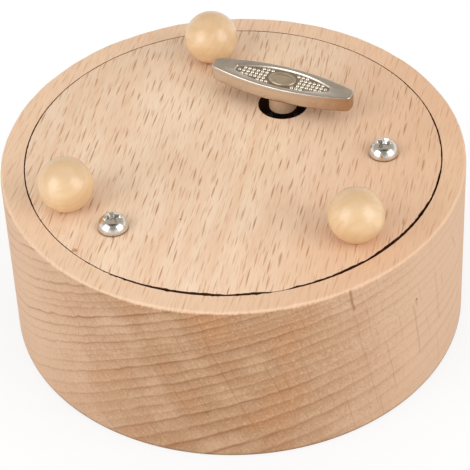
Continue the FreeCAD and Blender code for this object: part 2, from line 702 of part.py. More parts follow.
def build_drum():
    corners = (
        ("0", "0"),
        ("drum_diameter / 2", "0"),
        ("drum_diameter / 2", "drum_height"),
        ("recess_radius", "drum_height"),
        ("recess_radius", "plate_underside"),
        ("bore_radius", "plate_underside"),
        ("bore_radius", "crown_thickness"),
        ("0", "crown_thickness"),
    )
    body = upright("drum", corners)
    fillet(body, "rim_edge_round", round_edge("drum_height", "drum_diameter / 2"))
    fillet(body, "crown_edge_round", round_edge("0", "drum_diameter / 2"))


def foot_place(which):
    """Give a foot's x and y as formulas."""
    reach, angle = f"(plate_radius - foot_{which}_inset)", f"foot_{which}_angle"
    return f"{reach} * cos({angle})", f"{reach} * sin({angle})"


def screw_place(along):
    """Give a mounting screw's x and y as formulas."""
    x = f"key_hole_x + {along} * cos(movement_turn) - ear_across * sin(movement_turn)"
    y = f"key_hole_y + {along} * sin(movement_turn) + ear_across * cos(movement_turn)"
    return x, y


def build_base_plate():
    body = new_body("base_plate")
    sketch = new_sketch(body)
    circle(sketch, "0", "0", "plate_radius")
    circle(sketch, "key_hole_x", "key_hole_y", "key_hole_diameter / 2")
    for along in SCREWS:
        circle(sketch, *screw_place(along), "screw_diameter / 2 + screw_hole_gap")
    pad(body, sketch, "plate_thickness")
    sockets = new_sketch(body, height="plate_thickness")
    for which in FEET:
        circle(sockets, *foot_place(which), "dowel_diameter / 2 + dowel_gap")
    pocket(body, sockets, "dowel_sunk + dowel_gap")
    fillet(body, "plate_edge_round", round_edge("plate_thickness", "plate_radius"))
    place(body, z="plate_underside")


def build_feet():
    for index, which in enumerate(FEET, start=1):
        ball = doc.addObject("Part::Sphere", f"Ball{index}")
        ball.setExpression("Radius", bind("ball_diameter / 2"))
        ball.setExpression("Angle1", bind("-asin(1 - 2 * ball_flat_depth / ball_diameter)"))
        ball.setExpression("Placement.Base.z", bind("ball_diameter / 2 - ball_flat_depth"))
        socket = doc.addObject("Part::Cylinder", f"BallSocket{index}")
        socket.setExpression("Radius", bind("dowel_diameter / 2 + dowel_gap"))
        socket.setExpression("Height", bind("dowel_raised + dowel_gap"))
        foot = doc.addObject("Part::Cut", f"Foot{index}")
        foot.Base = ball
        foot.Tool = socket
        foot.Label = f"foot_{index}"
        pieces.append(foot)
        place(foot, *foot_place(which), "drum_height")


def build_foot_dowels():
    dowel = doc.addObject("Part::Cylinder", "Dowel")
    dowel.setExpression("Radius", bind("dowel_diameter / 2"))
    dowel.setExpression("Height", bind("dowel_sunk + dowel_raised"))
    doc.recompute()
    low = number("drum_height - dowel_sunk")
    spots = [(number(x), number(y), low) for x, y in map(foot_place, FEET)]
    grouped("foot_dowels", dowel, spots)


def build_movement_screws():
    """A pan head on a plain shank, with a cross recess."""
    master = doc.addObject("PartDesign::Body", "ScrewMaster")
    section = new_sketch(master, "XZ_Plane")
    corners = (
        ("0", "-screw_length"),
        ("screw_diameter / 2", "-screw_length"),
        ("screw_diameter / 2", "0"),
        ("screw_head_diameter / 2", "0"),
        ("screw_head_diameter / 2", "screw_head_height"),
        ("0", "screw_head_height"),
    )
    outline(section, corners)
    turn(master, section, "V_Axis")
    fillet(master, "screw_head_round", round_edge("screw_head_height", "screw_head_diameter / 2"))
    recess = new_sketch(master, height="screw_head_height")
    wide, tall = "screw_slot_length / 2", "screw_slot_width / 2"
    corners = (
        (wide, f"-{tall}"),
        (wide, tall),
        (tall, tall),
        (tall, wide),
        (f"-{tall}", wide),
        (f"-{tall}", tall),
        (f"-{wide}", tall),
        (f"-{wide}", f"-{tall}"),
        (f"-{tall}", f"-{tall}"),
        (f"-{tall}", f"-{wide}"),
        (tall, f"-{wide}"),
        (tall, f"-{tall}"),
    )
    outline(recess, corners)
    pocket(master, recess, "screw_slot_depth")
    spots = [(number(x), number(y), number("drum_height")) for x, y in map(screw_place, SCREWS)]
    grouped("movement_screws", master, spots)


def build_winding_key():
    body = new_body("winding_key")
    grip = new_sketch(body, height="key_underside")
    lens(grip, "key_length", "key_width", "key_end_width")
    pad(body, grip, "key_thickness")
    levels = [number("key_top_height"), number("key_underside")]
    fillet(
        body,
        "key_edge_round",
        lambda edge: any(abs(edge.BoundBox.ZMin - z) + abs(edge.BoundBox.ZMax - z) < SAME for z in levels),
    )
    panel = new_sketch(body, height="key_top_height")
    lens(panel, "key_panel_length", "key_panel_width", "key_panel_end")
    pocket(body, panel, "key_panel_depth")
    medal = new_sketch(body, height="key_top_height - key_panel_depth")
    lens(medal, "key_medal_length", "key_medal_width", "key_medal_end")
    pad(body, medal, "key_medal_height")
    boss = new_sketch(body, height="key_underside")
    circle(boss, "0", "0", "key_boss_diameter / 2")
    pad(body, boss, "key_underside + key_boss_sunk", down=True)
    bore = new_sketch(body, height="-key_boss_sunk")
    circle(bore, "0", "0", "arbor_thread_diameter / 2 + arbor_gap")
    pocket(body, bore, "key_bore_depth", reverse=True)
    place(body, "key_hole_x", "key_hole_y", "drum_height", "key_turn_angle")


def build_bedplate():
    body = new_body("bedplate")
    base = new_sketch(body)
    corners = (
        ("bed_left", "bed_front"),
        ("ear_right", "bed_front"),
        ("bed_seat_radius", "0"),
        ("0", "bed_seat_radius"),
        ("bed_back_right", "bed_back"),
        ("bed_back_left", "bed_back"),
        ("bed_left", "bed_side"),
    )
    outline(base, corners)
    pad(body, base, "bed_thickness", down=True)
    seat = new_sketch(body)
    circle(seat, "0", "0", "bed_seat_radius")
    pad(body, seat, "bed_thickness", down=True)
    for along in SCREWS:
        ear = new_sketch(body)
        circle(ear, along, "ear_across", "ear_radius")
        pad(body, ear, "ear_height", down=True)
    blocks = (
        # left, right, front and back edges, then depth
        (
            "comb_left + pedestal_margin",
            "comb_right - pedestal_margin",
            "comb_back + pedestal_margin",
            "pedestal_front",
            "axle_depth",
        ),
        ("arm_inner - arm_width", "arm_inner", "-arm_half", "arm_half", "axle_depth + arm_past"),
        (
            "left_arm_outer",
            "left_arm",
            "left_arm_front",
            "second_across + cheek_margin + governor_arbor_radius",
            "axle_depth + arm_past",
        ),
        (
            "cheek_left",
            "cheek_right",
            "first_across - cheek_margin",
            "second_across + cheek_margin + governor_arbor_radius",
            "first_depth + cheek_cover",
        ),
        (
            "far_cheek",
            "far_cheek_end",
            "second_across - cheek_margin - governor_arbor_radius",
            "second_across + cheek_margin + governor_arbor_radius",
            "second_depth + cheek_cover",
        ),
    )
    for left, right, front, back, depth in blocks:
        block = new_sketch(body)
        rectangle(block, left, right, front, back)
        pad(body, block, depth, down=True)
    holes = new_sketch(body)
    circle(holes, "0", "0", "arbor_diameter / 2 + arbor_gap")
    for along in SCREWS:
        circle(holes, along, "ear_across", "screw_diameter / 2")
    for along in COMB_SCREWS:
        circle(holes, along, "comb_screw_across", "comb_screw_diameter / 2")
    circle(holes, "worm_along", "worm_across", "worm_pivot_radius + worm_pivot_gap")
    circle(holes, BRACKET_SCREW, "worm_across", "bracket_screw_radius")
    pocket(body, holes)
    bearings = new_sketch(body, "YZ_Plane")
    circle(bearings, "0", "-axle_depth", "shaft_radius + shaft_gap")
    circle(bearings, "first_across", "-first_depth", "governor_arbor_radius + governor_arbor_gap")
    circle(bearings, "second_across", "-second_depth", "governor_arbor_radius + governor_arbor_gap")
    pocket(body, bearings)
    place_in_movement(body)


def build_spring_case():
    inner, bearing = "case_radius - case_wall", "arbor_diameter / 2 + arbor_gap"
    corners = (
        (bearing, "-case_height"),
        ("case_radius", "-case_height"),
        ("case_radius", "0"),
        (inner, "0"),
        (inner, "case_wall - case_height"),
        (bearing, "case_wall - case_height"),
    )
    place_in_movement(upright("spring_case", corners), depth="bed_thickness")


def build_mainspring():
    spring = made("mainspring", mainspring())
    place_in_movement(spring, depth="bed_thickness + collar_play + arbor_collar_height + spring_gap")


def build_winding_arbor():
    """The arbor's profile, in heights above the plate's inner face."""
    tip = "plate_thickness - key_boss_sunk + key_bore_depth - arbor_tip_gap"
    collar_top = "-bed_thickness - collar_play"
    collar_end = f"{collar_top} - arbor_collar_height"
    body_radius, thread_radius = "arbor_diameter / 2", "arbor_thread_diameter / 2"
    ring_end = "-ratchet_end - ring_height"
    corners = (
        ("0", tip),
        ("0", f"{ring_end} - arbor_end"),
        ("arbor_neck_radius", f"{ring_end} - arbor_end"),
        ("arbor_neck_radius", ring_end),
        ("ring_groove_radius", ring_end),
        ("ring_groove_radius", "-ratchet_end"),
        ("arbor_neck_radius", "-ratchet_end"),
        ("arbor_neck_radius", "-ratchet_top"),
        (body_radius, "-ratchet_top"),
        (body_radius, collar_end),
        ("arbor_collar_radius", collar_end),
        ("arbor_collar_radius", collar_top),
        (body_radius, collar_top),
        (body_radius, "plate_thickness - key_boss_sunk - arbor_tip_gap"),
        (thread_radius, "plate_thickness - key_boss_sunk - arbor_tip_gap"),
        (thread_radius, tip),
    )
    place_in_movement(upright("winding_arbor", corners))


def build_ratchet_wheel():
    place_in_movement(made("ratchet_wheel", ratchet_wheel()), depth="ratchet_top")


def build_arbor_ring():
    """An open retaining ring in the arbor's groove."""
    body = new_body("arbor_ring")
    disc = new_sketch(body)
    circle(disc, "0", "0", "ring_radius")
    circle(disc, "0", "0", "ring_groove_radius")
    pad(body, disc, "ring_height", down=True)
    mouth = new_sketch(body)
    rectangle(mouth, "0", "2 * ring_radius", "-ring_mouth / 2", "ring_mouth / 2")
    pocket(body, mouth)
    place_in_movement(body, depth="ratchet_end")


def build_drive_gear():
    place_in_movement(made("drive_gear", crown_gear()), depth="crown_top")


def build_click_spring():
    """A bent strip that stands on the crown gear, with its tip beside the ratchet wheel."""
    body = new_body("click_spring")
    strip = new_sketch(body)
    near = "(ratchet_radius + click_gap)"
    corners = (
        (near, "0"),
        (f"{near} + click_thickness", "-click_thickness"),
        ("click_reach - click_thickness", "-click_foot_end"),
        ("click_reach", "-click_foot_end"),
        ("click_reach", "-click_foot_start"),
        (f"{near} + click_thickness", "click_thickness"),
        (near, "click_thickness * 2"),
    )
    outline(strip, corners)
    pad(body, strip, "ratchet_end - crown_root", down=True)
    place_in_movement(body, depth="crown_root")


def build_cylinder():
    """The pinned cylinder with what turns with it."""
    inner = "cylinder_radius - cylinder_wall"
    profile = tube_profile("cylinder_left", "cylinder_right", inner, "cylinder_radius")
    tube = lengthwise("cylinder_tube", profile)
    pins = made("cylinder_pins", cylinder_pins())
    cap = doc.addObject("PartDesign::Body", "CapMaster")
    section = new_sketch(cap, "XZ_Plane")
    outline(section, tube_profile("cylinder_left", "cylinder_left + cap_width", "shaft_radius", inner))
    turn(cap, section, "H_Axis")
    caps = grouped("cylinder_ends", cap, [(0, 0, 0), (number("cylinder_width - cap_width"), 0, 0)])
    shaft_end = "pinion_along + pinion_face / 2 + shaft_past_pinion"
    shaft = lengthwise("cylinder_shaft", tube_profile("left_arm_outer", shaft_end, "0", "shaft_radius"))
    phase = math.pi / 2 + math.pi / count("pinion_teeth")
    teeth = spur_gear("pinion_teeth", "crown_module", "pinion_face", "shaft_radius", phase)
    pinion = made("cylinder_pinion", teeth)
    phase = math.radians(number("first_arbor_angle"))
    teeth = spur_gear("cylinder_gear_teeth", "small_module", "small_face", "shaft_radius", phase)
    gear = made("cylinder_gear", teeth)
    for piece in (tube, pins, caps, shaft):
        place_in_movement(piece, depth="axle_depth")
    place_in_movement(pinion, "pinion_along", depth="axle_depth")
    place_in_movement(gear, "gear_along", depth="axle_depth")


def build_comb():
    """A flat comb whose teeth grow longer towards the low notes."""
    body = new_body("comb")
    sketch = new_sketch(body)
    corners = [("comb_right", "comb_back"), ("comb_right", "comb_tip - tooth_short")]
    last = count("track_count") - 1
    for note in range(last + 1):
        length = f"(tooth_short + {note} * tooth_step)"
        middle = f"first_track - {note} * track_pitch"
        right = f"{middle} + (track_pitch - comb_slot) / 2"
        left = f"{middle} - (track_pitch - comb_slot) / 2"
        corners += [
            (right, f"comb_tip - {length}"),
            (right, "comb_tip"),
            (left, "comb_tip"),
            (left, f"comb_tip - {length}"),
        ]
    corners.append(("comb_left", f"comb_tip - (tooth_short + {last} * tooth_step)"))
    corners.append(("comb_left", "comb_back"))
    outline(sketch, corners)
    pad(body, sketch, "comb_thickness", down=True)
    holes = new_sketch(body)
    for along in COMB_SCREWS:
        circle(holes, along, "comb_screw_across", "comb_screw_diameter / 2 + comb_hole_gap")
    pocket(body, holes)
    place_in_movement(body, depth="axle_depth")


def build_comb_weights():
    """Lead weights under the low notes' teeth."""
    last = count("track_count") - 1
    width, height = number("track_pitch - comb_slot"), number("weight_height")
    blocks = []
    for index in range(count("weight_count")):
        note = last - index
        length = number("weight_length") - index * number("weight_step")
        left = number("first_track") - note * number("track_pitch") - width / 2
        front = number("comb_tip - weight_inset") - length
        corner = Vector(left, front, -number("comb_thickness") - height)
        blocks.append(Part.makeBox(width, length, height, corner))
    weights = made("comb_weights", Part.makeCompound(blocks))
    place_in_movement(weights, depth="axle_depth")


def headed_screw(name, radius, length, head_radius, head_height):
    """A cheese-head screw whose head points into the drum; its shank rises from the origin."""
    master = doc.addObject("PartDesign::Body", name)
    section = new_sketch(master, "XZ_Plane")
    corners = (
        ("0", length),
        ("0", f"-({head_height})"),
        (head_radius, f"-({head_height})"),
        (head_radius, "0"),
        (radius, "0"),
        (radius, length),
    )
    outline(section, corners)
    turn(master, section, "V_Axis")
    slot = new_sketch(master, height=f"-({head_height})")
    past_head = f"2 * ({head_radius})"
    rectangle(slot, f"-{past_head}", past_head, "-head_slot_width / 2", "head_slot_width / 2")
    pocket(master, slot, f"({head_height}) / 2", reverse=True)
    return master


def build_comb_screws():
    master = headed_screw(
        "CombScrewMaster",
        "comb_screw_diameter / 2",
        "comb_screw_length",
        "comb_screw_head / 2",
        "comb_screw_height",
    )
    spots = [(number(along), number("comb_screw_across"), 0) for along in COMB_SCREWS]
    place_in_movement(grouped("comb_screws", master, spots), depth="axle_depth + comb_thickness")


def build_governor():
    """The two geared arbors between the cylinder and the worm."""
    bore = "governor_arbor_radius"
    first_angle = math.radians(number("first_arbor_angle"))
    second_angle = math.radians(number("second_arbor_angle"))
    half_step = math.pi / count("governor_pinion_teeth")

    # the first wheel with its own pinion and the hub between them
    phase = first_angle + math.pi + half_step
    pinion = spur_gear("governor_pinion_teeth", "small_module", "small_face", bore, phase)
    pinion.translate(Vector(number("gear_along - wheel_along"), 0, 0))
    wheel = spur_gear("first_wheel_teeth", "fine_module", "small_face", bore, second_angle)
    hub_radius = number("(governor_pinion_teeth / 2 - tooth_height_share) * small_module - tooth_root_gap")
    hub_length = number("gear_along - wheel_along")
    hub = Part.makeCylinder(hub_radius, hub_length, Vector(0, 0, 0), Vector(1, 0, 0))
    hole = Part.makeCylinder(number(bore), 2 * hub_length, Vector(-hub_length / 2, 0, 0), Vector(1, 0, 0))
    first = made("first_wheel", wheel.multiFuse([pinion, hub.cut(hole)]).removeSplitter())
    place_in_movement(first, "wheel_along", "first_across", "first_depth")
    arbor = lengthwise("first_arbor", tube_profile("left_arm_outer", "cheek_right", "0", bore))
    place_in_movement(arbor, "0", "first_across", "first_depth")

    # the second pinion and the worm wheel on their arbor
    phase = second_angle + math.pi + half_step
    pinion = spur_gear("governor_pinion_teeth", "fine_module", "small_face", bore, phase)
    second = made("second_pinion", pinion)
    place_in_movement(second, "wheel_along", "second_across", "second_depth")
    wheel = spur_gear(
        "worm_wheel_teeth",
        "small_module",
        "worm_wheel_face",
        bore,
        math.pi / count("worm_wheel_teeth"),
        "worm_tooth_height",
        "worm_tooth_root",
        number("small_module / (2 * worm_pitch_radius)"),
    )
    worm_wheel = made("worm_wheel", wheel)
    place_in_movement(worm_wheel, "worm_along", "second_across", "second_depth")
    arbor = lengthwise("second_arbor", tube_profile("left_arm_outer", "far_cheek_end", "0", bore))
    place_in_movement(arbor, "0", "second_across", "second_depth")


def build_worm_and_fly():
    place_in_movement(made("worm_shaft", worm()), "worm_along", "worm_across", "second_depth")
    fly = new_body("fly")
    hub = new_sketch(fly)
    root = "worm_pitch_radius - worm_tooth_root"
    circle(hub, "0", "0", "fly_hub_radius")
    circle(hub, "0", "0", root)
    pad(fly, hub, "fly_height", down=True)
    for side in ("", "-"):
        blade = new_sketch(fly)
        near, far = f"{side}(fly_hub_radius - fly_thickness / 4)", f"{side}fly_radius"
        edges = (near, far) if not side else (far, near)
        rectangle(blade, *edges, "-fly_thickness / 2", "fly_thickness / 2")
        pad(fly, blade, "fly_height", down=True)
    place_in_movement(fly, "worm_along", "worm_across", "fly_depth")


def build_governor_bracket():
    """A bent strip that stands on the bedplate and holds the worm shaft's free end."""
    body = new_body("governor_bracket")
    side = new_sketch(body, "XZ_Plane")
    inner, outer = "bracket_post", "bracket_post + bracket_thickness"
    foot_end = "bracket_post + bracket_thickness + bracket_foot"
    arm_end = "worm_along - bracket_past"
    corners = (
        (inner, "-bed_thickness"),
        (foot_end, "-bed_thickness"),
        (foot_end, "-bed_thickness - bracket_thickness"),
        (outer, "-bed_thickness - bracket_thickness"),
        (outer, "-bracket_depth - bracket_thickness"),
        (arm_end, "-bracket_depth - bracket_thickness"),
        (arm_end, "-bracket_depth"),
        (inner, "-bracket_depth"),
    )
    outline(side, corners)
    strip = body.newObject("PartDesign::Pad", "BracketStrip")
    strip.Profile = side
    strip.Midplane = True
    strip.setExpression("Length", bind("2 * bracket_half"))
    doc.recompute()
    holes = new_sketch(body)
    circle(holes, "worm_along", "0", "worm_pivot_radius + worm_pivot_gap")
    circle(holes, BRACKET_SCREW, "0", "bracket_screw_radius")
    pocket(body, holes)
    place_in_movement(body, across="worm_across")


def build_bracket_screw():
    screw = headed_screw(
        "BracketScrew",
        "bracket_screw_radius",
        "bracket_thickness + bed_thickness",
        "bracket_screw_head",
        "bracket_screw_height",
    )
    screw.Label = "bracket_screw"
    pieces.append(screw)
    place_in_movement(screw, BRACKET_SCREW, "worm_across", "bed_thickness + bracket_thickness")


doc = FreeCAD.newDocument("MusicBox")
pieces = []
SHEET_OF = {name: "Sizes" for name, _, _ in SIZES}
SHEET_OF.update({name: "Places" for name, _ in PLACES})
sizes = fill_sheet("Sizes", [(name, str(value), meaning) for name, value, meaning in SIZES])
places = fill_sheet("Places", [(name, "=" + bind(formula), formula) for name, formula in PLACES])
doc.recompute()

build_drum()
build_base_plate()
build_feet()
build_foot_dowels()
build_movement_screws()
build_winding_key()
build_bedplate()
build_spring_case()
build_mainspring()
build_winding_arbor()
build_ratchet_wheel()
build_arbor_ring()
build_drive_gear()
build_click_spring()
build_cylinder()
build_comb()
build_comb_weights()
build_comb_screws()
build_governor()
build_worm_and_fly()
build_governor_bracket()
build_bracket_screw()
doc.recompute()

for item in doc.Objects:
    if "Invalid" in item.State or "Error" in item.State:
        raise RuntimeError(f"{item.Label} failed: {item.State}")
for piece in pieces:
    if piece.Shape.isNull() or not piece.Shape.isValid():
        raise RuntimeError(f"{piece.Label} has no valid shape")

os.makedirs("parts", exist_ok=True)
for piece in pieces:
    piece.Shape.exportStep(f"parts/{piece.Label}.step")
    solids = len(piece.Shape.Solids)
    print(f"{piece.Label}: {solids} solid(s), {piece.Shape.Volume:.2f} mm3")
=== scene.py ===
import math

import bmesh
import bpy
from mathutils import Matrix, Vector, noise


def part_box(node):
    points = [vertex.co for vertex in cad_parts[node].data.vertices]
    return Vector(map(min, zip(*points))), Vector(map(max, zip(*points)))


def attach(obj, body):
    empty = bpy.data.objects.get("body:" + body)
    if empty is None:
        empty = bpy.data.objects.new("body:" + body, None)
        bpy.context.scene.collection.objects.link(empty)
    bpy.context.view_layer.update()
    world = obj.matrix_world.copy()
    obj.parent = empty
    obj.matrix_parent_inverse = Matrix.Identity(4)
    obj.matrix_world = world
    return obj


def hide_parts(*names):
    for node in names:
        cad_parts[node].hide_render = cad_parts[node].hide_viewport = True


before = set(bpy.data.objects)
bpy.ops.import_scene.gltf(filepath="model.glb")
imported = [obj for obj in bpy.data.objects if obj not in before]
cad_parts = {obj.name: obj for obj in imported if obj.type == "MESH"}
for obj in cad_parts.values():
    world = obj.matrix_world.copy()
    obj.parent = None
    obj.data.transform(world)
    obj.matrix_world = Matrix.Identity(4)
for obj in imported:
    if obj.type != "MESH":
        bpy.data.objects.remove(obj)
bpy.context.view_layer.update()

bl_info = {
    "name": "Wooden music box",
    "version": (1, 0, 0),
    "blender": (4, 5, 0),
    "location": "3D Viewport > Sidebar > Music Box",
    "description": "Dresses the parts of a round beech music box",
    "category": "Object",
}

MM = 0.001
WHOLE_TURN = 2 * math.pi
SHARP = math.radians(32)          # a steeper edge than this stays sharp
SHARP_METAL = math.radians(40)
DRUM_GRAIN = math.radians(74)     # direction of the drum's grain, from +X
PLATE_GRAIN = math.radians(77)    # direction of the base plate's grain, from +X

DRUM_LOW, DRUM_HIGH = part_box("drum")
PLATE_LOW, PLATE_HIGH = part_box("base_plate")
ARBOR_LOW, ARBOR_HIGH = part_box("winding_arbor")
SCREWS_LOW, SCREWS_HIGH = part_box("movement_screws")
KEY_LOW, KEY_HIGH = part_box("winding_key")
DRUM_RADIUS = DRUM_HIGH.x
TOP = PLATE_HIGH.z                # the plate's outer face, flush with the drum's rim
KEY_AXIS = (ARBOR_LOW + ARBOR_HIGH) / 2


# ------------------------------------------------------------------ settings

def length(name, description, millimetres, low=0.0):
    return bpy.props.FloatProperty(
        name=name, description=description, default=millimetres * MM, min=low, unit="LENGTH", precision=5
    )


def angle(name, description, degrees):
    return bpy.props.FloatProperty(
        name=name, description=description, default=math.radians(degrees), subtype="ANGLE"
    )


def linear(red, green, blue):
    """Turn a colour as seen on screen, 0 to 255, into the value that a shader takes."""
    values = []
    for channel in (red, green, blue):
        c = channel / 255
        values.append(c / 12.92 if c <= 0.04045 else ((c + 0.055) / 1.055) ** 2.4)
    return tuple(values)


def colour(name, description, red, green, blue):
    return bpy.props.FloatVectorProperty(
        name=name, description=description, subtype="COLOR", size=3, min=0.0, max=1.0,
        default=linear(red, green, blue),
    )


class MusicBoxCase(bpy.types.PropertyGroup):
    recess_radius: length("Recess", "Radius of the recess for the base plate", 38.15)
    rim_round: length("Rim edge", "Rounding of the drum's outer edge", 0.5)
    rim_wear: length("Rim wear", "How unevenly the rim's edge is sanded", 0.2)
    foot_round: length("Lower edge", "Rounding of the drum's closed end", 0.5)
    bore_radius: length("Bore", "Inside radius of the drum", 36.65)
    bore_floor: length("Closed end", "Thickness of the drum's closed end", 5.0)
    nick: length("Nicks", "How far the widest burnt nicks reach into the rim", 0.3)
    hole_radius: length("Key hole", "Radius of the hole around the key's boss", 4.65)


class MusicBoxKey(bpy.types.PropertyGroup):
    turn: angle("Direction", "The grip's direction at rest", -26.3)
    half_length: length("Half length", "Grip, middle to end", 14.0)
    half_width: length("Half width", "Grip, middle to side", 3.5)
    half_end: length("Half end", "Grip, half of its cut-off end", 1.3)
    thickness: length("Thickness", "Grip", 3.2)
    panel_length: length("Panel half length", "Sunk panel, middle to end", 9.5)
    panel_width: length("Panel half width", "Sunk panel, middle to side", 2.7)
    panel_end: length("Panel half end", "Sunk panel, half of its blunt end", 0.7)
    panel_depth: length("Panel depth", "Sunk panel below the grip's face", 0.4)
    medal_length: length("Oval half length", "Plain oval, middle to end", 2.7)
    medal_width: length("Oval half width", "Plain oval, middle to side", 1.95)
    dot_step: length("Dot spacing", "From one dot to the next", 0.87, 0.0002)
    dot_radius: length("Dot size", "Radius of one dot", 0.37)
    boss_radius: length("Boss", "Radius of the boss under the grip", 2.6)


class MusicBoxScrews(bpy.types.PropertyGroup):
    head_radius: length("Head radius", "Pan head", 2.8)
    head_height: length("Head height", "Pan head", 2.4)
    recess_reach: length("Recess reach", "Cross recess, middle to tip", 1.55)
    recess_width: length("Recess width", "One bar of the cross recess", 0.95)
    recess_depth: length("Recess depth", "Cross recess below the head's top", 1.2)
    first_turn: angle("First turn", "The first screw's recess, from +X", 12)
    turn_step: angle("Turn step", "From one screw's recess to the next", -38)


class MusicBoxColours(bpy.types.PropertyGroup):
    plate: colour("Plate", "Base plate", 239, 213, 186)
    plate_warm: colour("Plate, warm", "Warmer clouds in the base plate", 229, 196, 165)
    rim: colour("Rim", "Drum's rim", 233, 198, 167)
    # side and end: the end tone is partly the end grain's own darkening and partly painted shade on the near
    # wall
    side: colour("Side grain", "Drum's wall beside the grain", 214, 177, 146)
    end: colour("End grain", "Drum's wall across the grain", 176, 136, 100)
    ring: colour("Growth rings", "Dark line at the end of each year", 144, 92, 54)
    fleck: colour("Flecks", "Short dark flecks along the grain", 176, 124, 84)
    char: colour("Char", "Burnt cut edges", 78, 42, 24)
    ball: colour("Balls", "Lacquered balls", 238, 204, 161)
    key: colour("Key", "Cast and plated key", 216, 208, 198)
    screw: colour("Screws", "Plated screws", 226, 224, 220)


class MusicBoxStage(bpy.types.PropertyGroup):
    lens: bpy.props.FloatProperty(
        name="Lens", description="Camera's focal length", default=172.93, min=1.0, unit="CAMERA"
    )
    elevation: angle("Elevation", "Camera above the table", 41.13)
    roll: angle("Roll", "Camera's turn about its own axis", -2.88)
    distance: length("Distance", "Camera from the object's origin", 435.42)
    shift_right: length("To the right", "Camera beside its line to the origin", -0.32, -1.0)
    shift_up: length("Upwards", "Camera above its line to the origin", 11.58, -1.0)
    softbox_power: bpy.props.FloatProperty(
        name="Softboxes", description="Power of each softbox", default=6.6, min=0.0, unit="POWER"
    )
    room_light: bpy.props.FloatProperty(
        name="Room light", description="Strength of the soft light from straight above", default=0.87, min=0.0
    )
    room_low: bpy.props.FloatProperty(
        name="Low room light", description="How much of the room's light comes from the horizon",
        default=0.28, min=0.0, max=1.0, subtype="FACTOR",
    )


GROUPS = {
    "case": MusicBoxCase, "key": MusicBoxKey, "screws": MusicBoxScrews, "colours": MusicBoxColours,
    "stage": MusicBoxStage,
}


class MusicBoxSettings(bpy.types.PropertyGroup):
    case: bpy.props.PointerProperty(type=MusicBoxCase)
    key: bpy.props.PointerProperty(type=MusicBoxKey)
    screws: bpy.props.PointerProperty(type=MusicBoxScrews)
    colours: bpy.props.PointerProperty(type=MusicBoxColours)
    stage: bpy.props.PointerProperty(type=MusicBoxStage)


def settings():
    return bpy.context.scene.music_box


# ------------------------------------------------------------------ meshes

def circle(radius, height, count, wobble=None):
    """Points of a level circle about Z; wobble gives what is taken off the radius at an angle."""
    points = []
    for k in range(count):
        turn = WHOLE_TURN * k / count
        reach = radius - (wobble(turn) if wobble else 0.0)
        points.append(Vector((reach * math.cos(turn), reach * math.sin(turn), height)))
    return points


def arc(centre_radius, centre_height, size, start, stop, steps):
    """Radius and height of points on a small arc, between two angles in degrees."""
    turns = [math.radians(start + (stop - start) * k / steps) for k in range(steps + 1)]
    return [(centre_radius + size * math.cos(t), centre_height + size * math.sin(t)) for t in turns]


def circles(outline, count):
    """A level circle for each (radius, height) of an outline."""
    return [circle(radius, height, count) for radius, height in outline]


def loft(name, rings, sharp=SHARP):
    """Skin a closed solid over rings of equally many points, with a point in the middle of each end."""
    shape = bmesh.new()
    loops = [[shape.verts.new(point) for point in ring] for ring in rings]
    for lower, upper in zip(loops, loops[1:]):
        for k in range(len(lower)):
            after = (k + 1) % len(lower)
            shape.faces.new((lower[k], lower[after], upper[after], upper[k]))
    for loop, turned in ((loops[0], True), (loops[-1], False)):
        middle = shape.verts.new(sum((corner.co for corner in loop), Vector()) / len(loop))
        for k in range(len(loop)):
            pair = (loop[k], loop[(k + 1) % len(loop)])
            shape.faces.new((*reversed(pair), middle) if turned else (*pair, middle))
    bmesh.ops.recalc_face_normals(shape, faces=shape.faces)
    return finished(name, shape, sharp)


def finished(name, shape, sharp=SHARP):
    """Turn a bmesh into an object that is smooth between its sharp edges."""
    mesh = bpy.data.meshes.new(name)
    shape.to_mesh(mesh)
    shape.free()
    mesh.shade_smooth()
    mesh.set_sharp_from_angle(angle=sharp)
    piece = bpy.data.objects.new(name, mesh)
    bpy.context.scene.collection.objects.link(piece)
    return piece


def move(piece, x, y, z=0.0):
    piece.data.transform(Matrix.Translation((x, y, z)))


def keep_result(piece):
    """Swap a piece's mesh for what its modifiers make of it."""
    graph = bpy.context.evaluated_depsgraph_get()
    mesh = bpy.data.meshes.new_from_object(piece.evaluated_get(graph), depsgraph=graph)
    mesh.name = piece.name
    piece.modifiers.clear()
    piece.data = mesh


def cut(piece, cutters, sharp=SHARP):
    """Take the cutters' space out of a piece, and delete the cutters."""
    for cutter in cutters:
        modifier = piece.modifiers.new("Cut", "BOOLEAN")
        modifier.operation = "DIFFERENCE"
        modifier.solver = "EXACT"
        modifier.object = cutter
    keep_result(piece)
    piece.data.shade_smooth()
    piece.data.set_sharp_from_angle(angle=sharp)
    for cutter in cutters:
        bpy.data.objects.remove(cutter)


def run_tree(piece, tree, **values):
    """Run a Geometry Nodes tree on a piece and keep what it makes as a plain mesh."""
    modifier = piece.modifiers.new("Repeat", "NODES")
    modifier.node_group = tree
    for item in tree.interface.items_tree:
        key = item.name.replace(" ", "_").lower()
        if item.in_out == "INPUT" and key in values:
            modifier[item.identifier] = values[key]
    keep_result(piece)


def dress(piece, material, body, node):
    """Give a piece its finish, the body that it moves with and the CAD node that it stands for."""
    piece.data.materials.clear()
    piece.data.materials.append(material)
    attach(piece, body)
    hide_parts(node)


def mirrored_quarter(quarter):
    """A closed outline from the points of its first quarter."""
    half = quarter + [Vector((-p.x, p.y, p.z)) for p in reversed(quarter[:-1])]
    return half + [Vector((p.x, -p.y, p.z)) for p in reversed(half[1:-1])]


